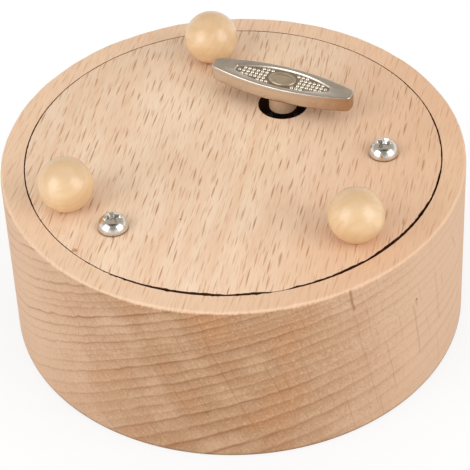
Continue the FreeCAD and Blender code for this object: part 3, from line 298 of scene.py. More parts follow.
def lens_outline(half_length, half_width, half_end, inset, corner, height):
    """A level lens with cut-off ends, drawn inset from its full size, with softened corners."""
    end_steps, corner_steps, side_steps = 4, 6, 32
    bow = (half_length ** 2 + (half_width - half_end) ** 2) / (2 * (half_width - half_end)) - inset
    sink = half_width - inset - bow
    reach = half_length - inset
    side_end = sink + math.sqrt(bow ** 2 - reach ** 2)
    start = math.atan2(side_end - sink, reach) + corner / bow
    flat = max(side_end - corner, side_end * 0.3)
    quarter = [Vector((reach, flat * k / end_steps, height)) for k in range(end_steps + 1)]
    before, tip = quarter[-1], Vector((reach, side_end, height))
    after = Vector((bow * math.cos(start), sink + bow * math.sin(start), height))
    for k in range(1, corner_steps):
        t = k / corner_steps
        quarter.append((1 - t) ** 2 * before + 2 * t * (1 - t) * tip + t * t * after)
    for k in range(side_steps + 1):
        turn = start + (math.pi / 2 - start) * k / side_steps
        quarter.append(Vector((bow * math.cos(turn), sink + bow * math.sin(turn), height)))
    return mirrored_quarter(quarter)


# ------------------------------------------------------------------ node trees

class Graph:
    """Short calls for laying out one node tree."""

    def __init__(self, tree):
        self.tree = tree

    def add(self, kind, inputs=None, **options):
        node = self.tree.nodes.new(kind)
        for option, value in options.items():
            setattr(node, option, value)
        for socket, value in (inputs or {}).items():
            self.feed(node.inputs[socket], value)
        return node

    def feed(self, socket, value):
        if isinstance(value, bpy.types.NodeSocket):
            self.tree.links.new(value, socket)
        else:
            socket.default_value = value

    def give(self, socket):
        """End the tree of a node group with what it gives out."""
        self.feed(self.add("NodeGroupOutput").inputs[0], socket)
        return self.tree

    def math(self, operation, *values):
        node = self.add("ShaderNodeMath", operation=operation)
        for socket, value in zip(node.inputs, values):
            self.feed(socket, value)
        return node.outputs[0]

    def times(self, first, *others):
        for other in others:
            first = self.math("MULTIPLY", first, other)
        return first

    def minus(self, first, second):
        return self.math("SUBTRACT", first, second)

    def over(self, first, second):
        return self.math("DIVIDE", first, second)

    def size(self, value):
        return self.math("ABSOLUTE", value)

    def times_plus(self, first, second, third):
        return self.math("MULTIPLY_ADD", first, second, third)

    def sway(self, value, noise, reach):
        """Move a value to and fro by a noise that lies around 0.5."""
        return self.times_plus(self.minus(noise, 0.5), reach, value)

    def split(self, vector):
        return self.add("ShaderNodeSeparateXYZ", {0: vector}).outputs

    def join(self, x=0.0, y=0.0, z=0.0):
        return self.add("ShaderNodeCombineXYZ", {0: x, 1: y, 2: z}).outputs[0]

    def place(self, kind="Object"):
        return self.add("ShaderNodeTexCoord").outputs[kind]

    def stretch(self, vector, x, y, z, shift=(0, 0, 0)):
        node = self.add("ShaderNodeMapping", {"Scale": (x, y, z), "Location": shift, "Vector": vector})
        return node.outputs[0]

    def noise(self, vector, scale=1.0, detail=2.0, roughness=0.5):
        values = {"Vector": vector, "Scale": scale, "Detail": detail, "Roughness": roughness}
        return self.add("ShaderNodeTexNoise", values).outputs[0]

    def streaks(self, vector, scales, detail=3.0, roughness=0.5, shift=(0, 0, 0)):
        """Noise with its own scale along each axis."""
        return self.noise(self.stretch(vector, *scales, shift), 1.0, detail, roughness)

    def fade(self, value, start, stop, low=0.0, high=1.0, kind="SMOOTHSTEP"):
        values = {"Value": value, "From Min": start, "From Max": stop, "To Min": low, "To Max": high}
        return self.add("ShaderNodeMapRange", values, interpolation_type=kind).outputs[0]

    def curve(self, value, points):
        """Follow straight lines through (value, result) points, with results between 0 and 1."""
        first, last = points[0][0], points[-1][0]
        node = self.add("ShaderNodeFloatCurve", {"Value": self.fade(value, first, last, kind="LINEAR")})
        knots = node.mapping.curves[0].points
        for _ in points[2:]:
            knots.new(0.5, 0.5)
        for knot, (x, y) in zip(knots, points):
            knot.location = ((x - first) / (last - first), y)
            knot.handle_type = "VECTOR"
        node.mapping.update()
        return node.outputs[0]

    def blend(self, amount, first, second):
        node = self.add("ShaderNodeMix", data_type="RGBA")
        for socket, value in ((0, amount), (6, first), (7, second)):
            if socket and not isinstance(value, bpy.types.NodeSocket):
                value = (*value[:3], 1.0)
            self.feed(node.inputs[socket], value)
        return node.outputs[2]

    def tint(self, base, tone, *amounts):
        """Blend a tone into a colour by the product of the amounts."""
        return self.blend(self.times(*amounts), base, TONES[tone] if isinstance(tone, str) else tone)

    def mix(self, amount, first, second):
        """Mix two shaders."""
        return self.add("ShaderNodeMixShader", {0: amount, 1: first, 2: second}).outputs[0]


def new_group(name, kind, inputs, output):
    """A node group with inputs by name and kind, and an output's name and kind: its graph and inputs."""
    tree = bpy.data.node_groups.new(name, kind)
    for way, (label, socket) in [("INPUT", pair) for pair in inputs] + [("OUTPUT", output)]:
        tree.interface.new_socket(name=label, in_out=way, socket_type="NodeSocket" + socket)
    graph = Graph(tree)
    return graph, graph.add("NodeGroupInput").outputs


def new_material(name):
    """A material with an empty tree, its graph, its shader and Object coordinates in millimetres."""
    material = bpy.data.materials.new(name)
    material.use_nodes = True
    material.node_tree.nodes.clear()
    graph = Graph(material.node_tree)
    shader = graph.add("ShaderNodeBsdfPrincipled")
    graph.add("ShaderNodeOutputMaterial", {"Surface": shader.outputs[0]})
    return material, graph, shader, graph.stretch(graph.place(), 1000, 1000, 1000)


def surface(graph, shader, base, roughness, height, depth, **constants):
    """Feed a shader its colour, roughness and constants, and a height from 0 to 1 times a depth in mm."""
    named = {name.replace("_", " "): value for name, value in constants.items()}
    for name, value in {"Base Color": base, "Roughness": roughness, **named}.items():
        graph.feed(shader.inputs[name], value)
    bump = graph.add("ShaderNodeBump", {"Strength": 1.0, "Distance": depth * MM, "Height": height})
    graph.feed(shader.inputs["Normal"], bump.outputs[0])


# ------------------------------------------------------------------ wood

# tones of details, as seen on screen
TONES = {name: linear(*channels) for name, channels in {
    "warm side": (222, 176, 140), "straw": (240, 212, 172), "dark fibre": (214, 170, 134),
    "pale fibre": (248, 224, 198), "pore": (206, 158, 120), "faint fleck": (206, 156, 118),
    "stripe": (224, 176, 140), "knot": (166, 112, 72), "speck": (120, 78, 50),
    "warm patch": (188, 134, 90), "pale patch": (222, 186, 154), "year's start": (222, 186, 152),
    "dark comb": (158, 110, 74), "pale comb": (228, 196, 166), "dark speckle": (160, 112, 76),
    "pale speckle": (226, 192, 160), "ray": (142, 96, 60), "wall mark": (110, 70, 42),
    "torn edge": (240, 208, 178), "painted foot shade": (112, 88, 68), "painted recess shade": (112, 68, 40),
    "warm ball": (228, 190, 142), "ball ring": (196, 150, 98), "ball fibre": (214, 170, 118),
    "ball crown": (206, 170, 130), "birch": (228, 200, 160), "birch fibre": (204, 168, 124),
    "flank room reflection": (212, 206, 198), "flank wood reflection": (228, 218, 206), "flank foot shade": (176, 148, 122),
    "right end brown": (176, 138, 98), "panel dirt and shade": (150, 130, 106), "screw foot shade and dirt": (120, 102, 84),
    "oval": (214, 198, 176), "boss": (236, 198, 164), "zinc": (176, 178, 180), "steel": (196, 196, 198),
    "blued steel": (96, 100, 112), "brass": (214, 178, 106), "lead": (128, 130, 134),
    "nylon": (226, 222, 208), "table": (244, 244, 243), "table cloud": (240, 240, 240),
}.items()}

# where in a year its ring is darkest
YEAR_END = 0.87

# the drum's growth rings, about a pith that lay below it and to one side: distance from the pith in
# millimetres, and how dark the year's end is
PITH_ACROSS, PITH_HEIGHT = -46.0, -85.0
RINGS = (
    (72.5, 0.6), (75.6, 0.4), (78.8, 0.8), (82.2, 0.5), (85.4, 0.7), (88.7, 0.4), (91.8, 0.55), (95.1, 1.0),
    (98.9, 0.9), (101.7, 0.6), (104.6, 1.0), (106.3, 0.25), (108.1, 0.5), (110.3, 0.55), (112.4, 0.8),
    (114.6, 0.55), (117.2, 0.85), (119.1, 0.6), (120.4, 0.3), (121.3, 0.3), (122.9, 0.8), (124.5, 0.5),
    (126.3, 0.7), (128.3, 1.0), (130.2, 0.4), (131.3, 0.35), (133.0, 0.6), (134.7, 0.7), (137.0, 0.4),
    (138.6, 0.7), (140.7, 0.9), (142.3, 0.4), (144.5, 0.7), (146.4, 0.5), (149.0, 0.8), (152.0, 0.6),
)
# rays that stand out on the near wall: bearing about the pith at RAY_REACH from it, lowest and highest
# distance from the pith, half width (all in millimetres) and depth
RAY_REACH = 110.0
RAYS = (
    (15.9, 115.6, 122.0, 0.26, 0.6), (16.2, 88.0, 115.8, 0.15, 0.2), (8.2, 106.5, 110.0, 0.2, 0.25),
    (8.6, 94.0, 109.0, 0.15, 0.25), (5.8, 97.0, 112.0, 0.15, 0.14), (12.9, 90.0, 105.0, 0.13, 0.25),
    (20.9, 86.0, 97.0, 0.14, 0.25), (25.0, 104.0, 120.0, 0.12, 0.25), (28.9, 103.0, 113.0, 0.12, 0.35),
    (30.7, 101.0, 113.0, 0.12, 0.45), (37.8, 97.0, 123.0, 0.11, 0.45), (44.4, 96.0, 121.0, 0.11, 0.3),
    (47.7, 103.0, 118.0, 0.11, 0.35),
)
# small marks: place and radius in millimetres, strength and tone
PLATE_MARKS = (((-28.4, -24.4, 35.0), 0.7, 0.7, "knot"), ((-9.8, -17.5, 35.0), 0.28, 0.7, "speck"))
MARK_TURN = math.radians(317.1)
WALL_MARKS = (((42.5 * math.cos(MARK_TURN), 42.5 * math.sin(MARK_TURN), 23.5), 0.35, 0.8, "wall mark"),)


def fleck_tree():
    """Scattered thin lenses that lie along the first coordinate."""
    names = ("Along", "Across", "Cell length", "Cell width", "Half length", "Half width", "Share", "Seed")
    graph, given = new_group("Grain flecks", "ShaderNodeTree", [(n, "Float") for n in names], ("Mask", "Float"))
    seed_step, most_lean = 7.31, 0.09
    shift = graph.times(given["Seed"], seed_step)
    u = graph.math("ADD", graph.over(given["Along"], given["Cell length"]), shift)
    place = graph.join(u, graph.over(given["Across"], given["Cell width"]))
    cells = graph.add("ShaderNodeTexVoronoi", {"Vector": place, "Scale": 1.0}, voronoi_dimensions="2D").outputs
    chance = graph.add("ShaderNodeSeparateColor", {0: cells["Color"]}).outputs
    away = graph.add("ShaderNodeVectorMath", {0: place, 1: cells["Position"]}, operation="SUBTRACT")
    away = graph.split(away.outputs[0])
    along = graph.times(away[0], given["Cell length"])
    across = graph.times(away[1], given["Cell width"])
    lean = graph.times(graph.minus(chance[2], 0.5), most_lean)
    across = graph.size(graph.times_plus(along, lean, across))
    reach = graph.times(given["Half length"], graph.times_plus(chance[0], 0.65, 0.6))
    width = graph.times(given["Half width"], graph.times_plus(chance[1], 0.8, 0.55))
    ends = graph.math("POWER", graph.size(graph.over(along, reach)), 2.0)
    inside = graph.minus(graph.minus(1.0, ends), graph.over(across, width))
    draw = graph.math("FRACT", graph.times_plus(chance[0], 7.13, chance[2]))
    shown = graph.math("LESS_THAN", draw, given["Share"])
    depth = graph.times_plus(chance[1], 0.6, 0.4)
    return graph.give(graph.times(graph.fade(inside, 0.0, 0.9), graph.times(shown, depth)))


def flecks(graph, along, across, cell, half, amount, seed):
    """Use the fleck tree with sizes in millimetres: a cell's and a half fleck's length and width."""
    node = graph.add("ShaderNodeGroup", node_tree=bpy.data.node_groups["Grain flecks"])
    for socket, value in zip(node.inputs, (along, across, *cell, *half, amount, seed)):
        graph.feed(socket, value)
    return node.outputs[0]


def turned_place(graph, place, rotation):
    return graph.add("ShaderNodeMapping", {"Rotation": rotation, "Vector": place}).outputs[0]


def along_grain(graph, place, direction):
    """Turn millimetre coordinates so that X runs along the grain."""
    return turned_place(graph, place, (0, 0, -direction))


def growth_rings(graph, wood, pith_across, pith_height, seed, slow_sway, quick_sway):
    """Wavy distance from the pith, and the level and the upright distance from it, in millimetres."""
    slow = graph.streaks(wood, (0.01, 0.035, 0.035), 2.0, shift=(seed, 0, 0))
    quick = graph.streaks(wood, (0.06, 0.3, 0.3), shift=(0, seed, 0))
    parts = graph.split(wood)
    across, height = graph.minus(parts[1], pith_across), graph.minus(parts[2], pith_height)
    reach = graph.math("SQRT", graph.times_plus(across, across, graph.times(height, height)))
    return graph.sway(graph.sway(reach, slow, slow_sway), quick, quick_sway), across, height


def year_bands(graph, year):
    """The dark end of each year: a soft band, its fine core and the next year's pale start."""
    part = graph.math("FRACT", year)
    fall = graph.fade(part, 0.85, 1.0, 1.0, 0.0)
    band = graph.times(graph.math("POWER", graph.fade(part, 0.4, 0.85, kind="LINEAR"), 1.6), fall)
    core = graph.times(graph.fade(part, 0.72, 0.85), fall)
    return band, core, graph.fade(part, 0.02, 0.5, 1.0, 0.0)


def clouds(graph, wood, seed, along=0.06, across=0.16):
    """Soft blotches stretched along the grain."""
    return graph.streaks(wood, (along, across, across), 3.0, 0.55, (seed, seed, 0))


def fibres(graph, wood, seed):
    """Fine fibres along the grain."""
    return graph.streaks(wood, (0.2, 2.6, 1.4), 3.0, 0.65, (0, seed, 0))


def top_grain(graph, wood, pale, warm, seed, clarity):
    """Colour of a face cut along the grain: clouds, fibres, pores and short dark flecks."""
    along, across, _ = graph.split(wood)
    base = graph.blend(graph.fade(clouds(graph, wood, seed), 0.3, 0.7, 0.1, 0.85), pale, warm)
    base = graph.tint(base, "warm side", graph.fade(across, 2.0, -34.0, 0.0, 0.65))
    yellow = clouds(graph, wood, seed + 5, 0.04, 0.1)
    base = graph.tint(base, "straw", graph.fade(yellow, 0.5, 0.72, 0.0, 0.25))
    threads = fibres(graph, wood, seed)
    base = graph.tint(base, "dark fibre", graph.fade(threads, 0.47, 0.72, 0.0, 0.4))
    base = graph.tint(base, "pale fibre", graph.fade(threads, 0.5, 0.26, 0.0, 0.1))
    for cell, half, amount, later, tone, strength in (
        ((4.0, 0.7), (1.7, 0.1), 0.7, 3, "pore", 0.5),
        ((5.0, 1.05), (2.2, 0.16), 0.85, 1, "faint fleck", 0.9 * clarity),
        ((5.8, 1.5), (2.75, 0.185), 0.9, 2, settings().colours.fleck, 0.9 * clarity),
    ):
        mask = flecks(graph, along, across, cell, half, amount, seed + later)
        base = graph.tint(base, tone, mask, strength)
    return base, mask


def marked(graph, base, place, marks):
    """Put small round marks on a colour."""
    for centre, radius, strength, tone in marks:
        away = graph.add("ShaderNodeVectorMath", {0: place, 1: centre}, operation="DISTANCE").outputs["Value"]
        base = graph.tint(base, tone, graph.fade(away, radius, radius * 0.4), strength)
    return base


def upright(graph):
    """1 where a face stands upright and 0 where it lies flat."""
    return graph.fade(graph.size(graph.split(graph.place("Normal"))[2]), 0.75, 0.4)


def plate_wood():
    """Sanded beech with clear flecks, burnt where the laser cut it."""
    colours = settings().colours
    material, graph, shader, place = new_material("Beech plate")
    wood = along_grain(graph, place, PLATE_GRAIN)
    base, bold = top_grain(graph, wood, colours.plate, colours.plate_warm, 3.0, 1.0)
    stripe = graph.streaks(wood, (0.012, 0.22, 0.1), 3.0, 0.6, (4, 0, 0))
    base = graph.tint(base, "stripe", graph.fade(stripe, 0.5, 0.75, 0.0, 0.4))
    base = marked(graph, base, place, PLATE_MARKS)
    burnt = upright(graph)
    base = graph.tint(base, colours.char, burnt)
    grain = graph.minus(fibres(graph, wood, 3.0), graph.times(bold, 0.5))
    surface(graph, shader, base, graph.fade(burnt, 0.0, 1.0, 0.58, 0.9), grain, 0.05, Specular_IOR_Level=0.3)
    return material


def year_lines(graph, wood, reach, across, height, band, core):
    """Strength of the rings: broad soft ones in the middle of the wall, fine ones left, faint ones right."""
    left = graph.fade(across, 40.0, 66.0)
    soft = graph.times(band, graph.fade(left, 0.0, 1.0, 0.72, 0.36))
    fine = graph.times(core, graph.fade(left, 0.0, 1.0, 0.28, 0.52))
    lines = graph.times(graph.math("ADD", soft, fine), graph.curve(reach, RINGS))
    breaks = graph.fade(graph.streaks(wood, (0.05, 0.2, 0.2), shift=(3, 3, 0)), 0.3, 0.62, 0.5, 1.0)
    sides = graph.times(graph.fade(across, 6.0, 42.0, 0.24, 0.9), graph.fade(across, 54.0, 82.0, 1.0, 0.8))
    low_left = graph.times(left, graph.fade(height, 106.0, 92.0, 0.0, 0.55))
    return graph.times(lines, graph.times(breaks, sides), graph.minus(1.0, low_left))


def ray_lines(graph, moved, sway, raw):
    """Strength of the rays: short and long ones strewn over the wall, and those in RAYS."""
    short = flecks(graph, moved, sway, (9.0, 1.3), (3.2, 0.08), 0.75, 5.0)
    long = flecks(graph, moved, sway, (22.0, 4.2), (8.0, 0.11), 0.8, 8.0)
    rays = graph.times(graph.math("MAXIMUM", short, long), graph.fade(raw, 0.0, 1.0, 0.2, 0.42))
    for middle, low, high, half, depth in RAYS:
        line = graph.fade(graph.size(graph.minus(sway, middle)), half, half * 0.3)
        stop = graph.times(graph.fade(moved, low, low + 1.5), graph.fade(moved, high, high - 1.5))
        rays = graph.math("MAXIMUM", rays, graph.times(line, stop, depth))
    return rays


def end_grain(graph, wood, end_grain_and_shade, cosine):
    """Colour of the drum's wall: growth rings, rays, speckles and warm patches."""
    colours = settings().colours
    reach, across, height = growth_rings(graph, wood, PITH_ACROSS, PITH_HEIGHT, 1.0, 1.4, 0.95)
    count = len(RINGS)
    year = graph.curve(reach, [(radius, (k + YEAR_END) / count) for k, (radius, _) in enumerate(RINGS)])
    band, core, pale = year_bands(graph, graph.times(year, count))
    bearing = graph.times(graph.math("ARCTAN2", across, height), RAY_REACH)
    back = graph.fade(graph.split(wood)[0], -1.0, 1.0, 0.0, 37.0)
    raw = graph.fade(cosine, 0.4, 0.95)

    # the end tone: partly the end grain's own darkening, partly painted shade on the near wall
    wall = graph.blend(end_grain_and_shade, colours.side, colours.end)
    patches = graph.streaks(wood, (0.03, 0.09, 0.09), 2.0)
    wall = graph.tint(wall, "warm patch", graph.fade(patches, 0.42, 0.68, 0.0, 0.7), end_grain_and_shade)
    wall = graph.tint(wall, "pale patch", graph.fade(patches, 0.5, 0.3, 0.0, 0.4), raw)
    wall = graph.tint(wall, "year's start", pale, raw, 0.16)
    combed = graph.noise(graph.join(graph.times(bearing, 2.2), graph.times(reach, 0.45), back), 1.0, 3.0, 0.6)
    wall = graph.tint(wall, "dark comb", graph.fade(combed, 0.5, 0.75, 0.0, 0.2), raw)
    wall = graph.tint(wall, "pale comb", graph.fade(combed, 0.5, 0.25, 0.0, 0.14), raw)
    speckle = graph.streaks(wood, (1.6, 2.4, 2.4), 3.0, 0.7)
    grains = graph.fade(raw, 0.0, 1.0, 0.14, 0.66)
    wall = graph.tint(wall, "dark speckle", graph.fade(speckle, 0.5, 0.8), grains)
    wall = graph.tint(wall, "pale speckle", graph.fade(speckle, 0.5, 0.2), grains)

    lines = year_lines(graph, wood, reach, across, height, band, core)
    wall = graph.tint(wall, colours.ring, lines)
    rays = ray_lines(graph, graph.math("ADD", reach, back), graph.sway(bearing, patches, 1.2), raw)
    wall = graph.tint(wall, "ray", rays, graph.fade(cosine, 0.1, 0.4))
    return wall, speckle, lines


def drum_wood():
    """Turned beech: flecked rim, side grain left and right, rings and rays on the end grain."""
    colours = settings().colours
    material, graph, shader, place = new_material("Beech drum")
    wood = along_grain(graph, place, DRUM_GRAIN)
    along, across, level = graph.split(wood)
    rim, _ = top_grain(graph, wood, colours.rim, colours.plate_warm, 11.0, 0.5)

    # how squarely the wall cuts the grain, taken 9.5 degrees off the grain's axis so that the darkest places
    # lie nearer the front and the back; this darkening is partly the end grain's own and partly painted shade
    # on the near wall
    radial = graph.math("SQRT", graph.times_plus(along, along, graph.times(across, across)))
    lean = math.radians(9.5)
    facing = graph.times_plus(along, math.cos(lean), graph.times(across, math.sin(lean)))
    cosine = graph.size(graph.over(facing, graph.math("MAXIMUM", radial, 1.0)))
    end_grain_and_shade = graph.math("POWER", graph.fade(cosine, 0.57, 1.0, kind="LINEAR"), 1.7)
    wall, speckle, lines = end_grain(graph, wood, end_grain_and_shade, cosine)
    wall = marked(graph, wall, place, WALL_MARKS)

    # the outer edge, where the sanding left torn, paler fibres
    upward = graph.split(graph.place("Normal"))[2]
    torn = graph.streaks(wood, (0.5, 2.4, 0.6), 3.0, 0.7)
    ragged = graph.times_plus(torn, 0.9, graph.minus(upward, 0.45))
    base = graph.tint(wall, rim, graph.fade(ragged, 0.3, 0.75))
    base = graph.tint(base, rim, graph.fade(upward, -0.6, -0.8))
    on_edge = graph.times(graph.fade(ragged, 0.15, 0.5), graph.fade(upward, 0.985, 0.8))
    base = graph.tint(base, "torn edge", on_edge, 0.35)

    # painted shade along the lowest edge, where the drum stands on the table, and painted shade on the recess
    # wall deep in the gap
    base = graph.tint(base, "painted foot shade", graph.fade(level, 0.9, 0.2), graph.fade(radial, 41.0, 41.8), 0.75)
    base = graph.tint(base, "painted recess shade", upright(graph), graph.fade(radial, 39.5, 38.6), 0.9)
    relief = graph.minus(fibres(graph, wood, 8.0), graph.times(lines, 0.4))
    rough = graph.fade(speckle, 0.3, 0.7, 0.55, 0.68)
    surface(graph, shader, base, rough, relief, 0.05, Specular_IOR_Level=0.3)
    return material


def ball_wood(index, tilt):
    """Lacquered pale wood with a few soft rings."""
    material, graph, shader, place = new_material(f"Ball wood {index}")
    turned = turned_place(graph, place, tilt)
    reach = growth_rings(graph, turned, 30.0 + 9 * index, 26.0, float(index), 1.8, 0.2)[0]
    band = year_bands(graph, graph.over(reach, 1.15))[0]
    tint = graph.fade(graph.streaks(turned, (0.06, 0.3, 0.3), 2.0), 0.35, 0.65)
    base = graph.tint(settings().colours.ball, "warm ball", tint)
    base = graph.tint(base, "ball ring", band, 0.12)
    fine = graph.streaks(turned, (0.3, 3.5, 3.5), 2.0)
    base = graph.tint(base, "ball fibre", graph.fade(fine, 0.45, 0.75, 0.0, 0.2))
    # painted shade: each ball darker and greyer towards its top
    base = graph.tint(base, "ball crown", graph.fade(graph.split(place)[2], 40.5, 45.0, 0.0, 0.5))
    surface(
        graph, shader, base, graph.fade(fine, 0.3, 0.7, 0.45, 0.55), fine, 0.01,
        Coat_Weight=0.7, Coat_Roughness=0.23, Coat_IOR=1.66,
    )
    return material


def dowel_wood():
    """Plain birch with fine fibres along the dowel."""
    material, graph, shader, place = new_material("Dowel wood")
    fine = graph.streaks(place, (3.0, 3.0, 0.2), 3.0, 0.6)
    base = graph.tint(TONES["birch"], "birch fibre", graph.fade(fine, 0.35, 0.7))
    surface(graph, shader, base, 0.65, fine, 0.03)
    return material


# ------------------------------------------------------------------ metal and plastic

def key_finish(floor):
    """Plating on the key's casting, browner towards the grip's right end, with painted reflection and shade on
    its flanks, and dull, with dirt and painted shade, on the panel's floor.
    """
    tone = settings().colours.key
    material, graph, shader, place = new_material("Key casting")
    fine = graph.streaks(place, (2.4, 2.4, 2.4), 3.0, 0.6)
    cloud = graph.noise(place, 0.3, 2.0)
    dark = tuple(channel * 0.8 for channel in tone)
    base = graph.tint(tone, dark, graph.fade(graph.times_plus(fine, 0.35, cloud), 0.45, 0.9))
    level = graph.split(place)[2]
    # browner on the flanks towards the grip's right end
    right_end = graph.fade(graph.times_plus(cloud, 6.0, graph.split(place)[0]), 12.0, 26.0, 0.0, 0.75)
    facing = graph.split(graph.place("Normal"))[2]
    side = graph.fade(facing, 0.6, 0.2)
    # painted reflection on the grip's flanks: greyer near the top, brighter in the middle where the wood is
    # mirrored, and painted shade at the foot
    under = graph.minus(KEY_HIGH.z / MM, level)
    flank_reflection_and_shade = graph.tint(TONES["flank room reflection"], "flank wood reflection", graph.fade(under, 0.5, 1.4))
    flank_reflection_and_shade = graph.tint(flank_reflection_and_shade, "flank foot shade", graph.fade(under, 2.75, 3.15))
    base = graph.tint(base, flank_reflection_and_shade, side, 0.9)
    base = graph.tint(base, "right end brown", side, right_end)
    # the sunk panel's floor: darker with dirt and painted shade, and rougher
    low = graph.fade(level, floor / MM + 0.22, floor / MM + 0.02)
    sunk = graph.times(low, graph.fade(facing, 0.3, 0.8))
    base = graph.tint(base, "panel dirt and shade", sunk, 0.7)
    rough = graph.times_plus(sunk, 0.25, graph.fade(cloud, 0.3, 0.7, 0.24, 0.34))
    surface(graph, shader, base, rough, fine, 0.012, Metallic=1.0)
    return material


def metal(name, tone, roughness, grain=0.6, depth=0.01, stretch=(1.0, 1.0, 1.0), mottling=0.12, metallic=1.0):
    """Metal with a fine surface, faint clouds in its colour and an uneven sheen."""
    material, graph, shader, place = new_material(name)
    tone = TONES[tone] if isinstance(tone, str) else tone
    fine = graph.streaks(place, [side / grain for side in stretch], 3.0, 0.6)
    cloud = graph.noise(place, 0.35, 2.0)
    dark = tuple(channel * (1 - 2 * mottling) for channel in tone)
    base = graph.tint(tone, dark, graph.fade(graph.times_plus(fine, 0.4, cloud), 0.45, 0.95))
    rough = graph.fade(cloud, 0.3, 0.7, roughness * 0.85, roughness * 1.2)
    surface(graph, shader, base, rough, fine, depth, Metallic=metallic)
    return material


def shade_and_dirt_below(material, low, high, tone):
    """Darken a material towards a level: painted shade and dirt where it meets the wood."""
    graph = Graph(material.node_tree)
    shader = next(node for node in graph.tree.nodes if node.type == "BSDF_PRINCIPLED")
    base = shader.inputs["Base Color"].links[0].from_socket
    shade_and_dirt = graph.fade(graph.split(graph.place())[2], high, low)
    graph.feed(shader.inputs["Base Color"], graph.tint(base, tone, shade_and_dirt))


def moulded(name, tone, roughness):
    """Moulded plastic with a faint bloom."""
    material, graph, shader, place = new_material(name)
    fine = graph.noise(place, 2.2, 3.0, 0.6)
    dark = tuple(channel * 0.86 for channel in TONES[tone])
    base = graph.tint(TONES[tone], dark, graph.fade(graph.noise(place, 0.4, 2.0), 0.35, 0.7))
    surface(graph, shader, base, graph.fade(fine, 0.3, 0.7, roughness, roughness * 1.3), fine, 0.01)
    return material


# ------------------------------------------------------------------ wooden pieces

# width of the laser's cut between plate and drum in millimetres, by the angle from +X in degrees
KERF = (
    (0, 0.22), (18, 0.22), (32, 0.13), (60, 0.09), (110, 0.09), (148, 0.12), (160, 0.18), (200, 0.18),
    (208, 0.11), (234, 0.14), (241, 0.34), (250, 0.46), (262, 0.5), (275, 0.46), (279, 0.12), (282, 0.1),
    (285, 0.4), (300, 0.5), (330, 0.44), (346, 0.26), (360, 0.2),
)
NARROWEST_CUT = 0.03
RAGGED_FROM, RAGGED_TO = 222, 279     # where the cut's outer side is burnt into nicks, in degrees


def wave(turn, quickness, row):
    """A smooth value between -1 and 1 that comes back to itself round a circle."""
    return noise.noise(Vector((quickness * math.cos(turn), quickness * math.sin(turn), row)))


def kerf(turn):
    """Width of the cut at an angle, with its wobble."""
    degrees = math.degrees(turn) % 360
    for (start, first), (stop, second) in zip(KERF, KERF[1:]):
        if degrees <= stop:
            width = first + (second - first) * (degrees - start) / (stop - start)
            break
    return MM * max(width * (1 + 0.5 * wave(turn, 9, 2.0) + 0.3 * wave(turn, 40, 5.0)), NARROWEST_CUT)


def nicks(turn):
    """How far burnt nicks reach out from the recess, in the ragged part of the cut."""
    ragged = 1.0 if RAGGED_FROM < math.degrees(turn) % 360 < RAGGED_TO else 0.3
    bite = max(wave(turn, 60, 9.0), 0.0)
    return settings().case.nick * ragged * bite * min(kerf(turn) / MM / 0.2, 1.0)


def rim_sanding(turn):
    """How far the rim's rounding is sanded past its even line."""
    return settings().case.rim_wear * (0.5 + 0.7 * wave(turn, 5, 0.4) + 0.5 * wave(turn, 19, 7.0))


class MUSICBOX_OT_make_drum(bpy.types.Operator):
    """Turn the drum with its worn rim, the recess for the plate and the bore"""
    bl_idname = "musicbox.make_drum"
    bl_label = "Make Drum"

    def execute(self, context):
        case = settings().case
        count, edge_steps = 512, 7
        foot, edge, recess, bore = case.foot_round, case.rim_round, case.recess_radius, case.bore_radius
        flat = edge * 1.8
        floor = DRUM_LOW.z + case.bore_floor
        outline = [(DRUM_RADIUS * inset, DRUM_LOW.z) for inset in (0.3, 0.7)]
        outline += arc(DRUM_RADIUS - foot, DRUM_LOW.z + foot, foot, -90, 0, 6)
        outline += [(DRUM_RADIUS, (DRUM_LOW.z + TOP) / 2), (DRUM_RADIUS, TOP - flat)]
        rings = circles(outline, count)
        for k, (radius, height) in enumerate(arc(DRUM_RADIUS - edge, TOP - edge, edge, 0, 90, edge_steps)):
            taken = math.sin(math.pi * (k + 1) / (edge_steps + 2))
            rings.append(circle(radius, height, count, lambda turn: taken * rim_sanding(turn)))
        rings.append(circle(DRUM_RADIUS - flat, TOP, count))
        rings.append(circle(recess + 0.04 * MM, TOP, count, lambda turn: -nicks(turn)))
        rings.append(circle(recess, TOP - 0.25 * MM, count, lambda turn: -nicks(turn) / 2))
        rings += circles(((recess, PLATE_LOW.z), (bore, PLATE_LOW.z), (bore, floor), (bore / 2, floor)), count)
        dress(loft("turned_drum", rings), drum_wood(), "case", "drum")
        return {"FINISHED"}


class MUSICBOX_OT_make_plate(bpy.types.Operator):
    """Cut the base plate with its burnt edge and its holes"""
    bl_idname = "musicbox.make_plate"
    bl_label = "Make Base Plate"

    def execute(self, context):
        case = settings().case
        count, soft, edge = 720, 0.07 * MM, case.recess_radius
        middle, screw_hole = edge * 0.6, 1.7 * MM
        rings = [circle(middle, PLATE_LOW.z, count)]
        side = [(edge, PLATE_LOW.z), (edge, TOP - 2 * soft), *arc(edge - soft, TOP - soft, soft, 0, 90, 2)]
        rings += [circle(radius, height, count, kerf) for radius, height in side]
        rings.append(circle(middle, TOP, count))
        plate = loft("base_disc", rings)
        cutters = []
        spots = [(KEY_AXIS, case.hole_radius, 96)] + [(spot, screw_hole, 32) for spot in screw_spots()]
        for centre, radius, corners in spots:
            cutter = loft("cutter", circles(((radius, PLATE_LOW.z - MM), (radius, TOP + MM)), corners))
            move(cutter, centre.x, centre.y)
            cutters.append(cutter)
        cut(plate, cutters)
        dress(plate, plate_wood(), "case", "base_plate")
        return {"FINISHED"}


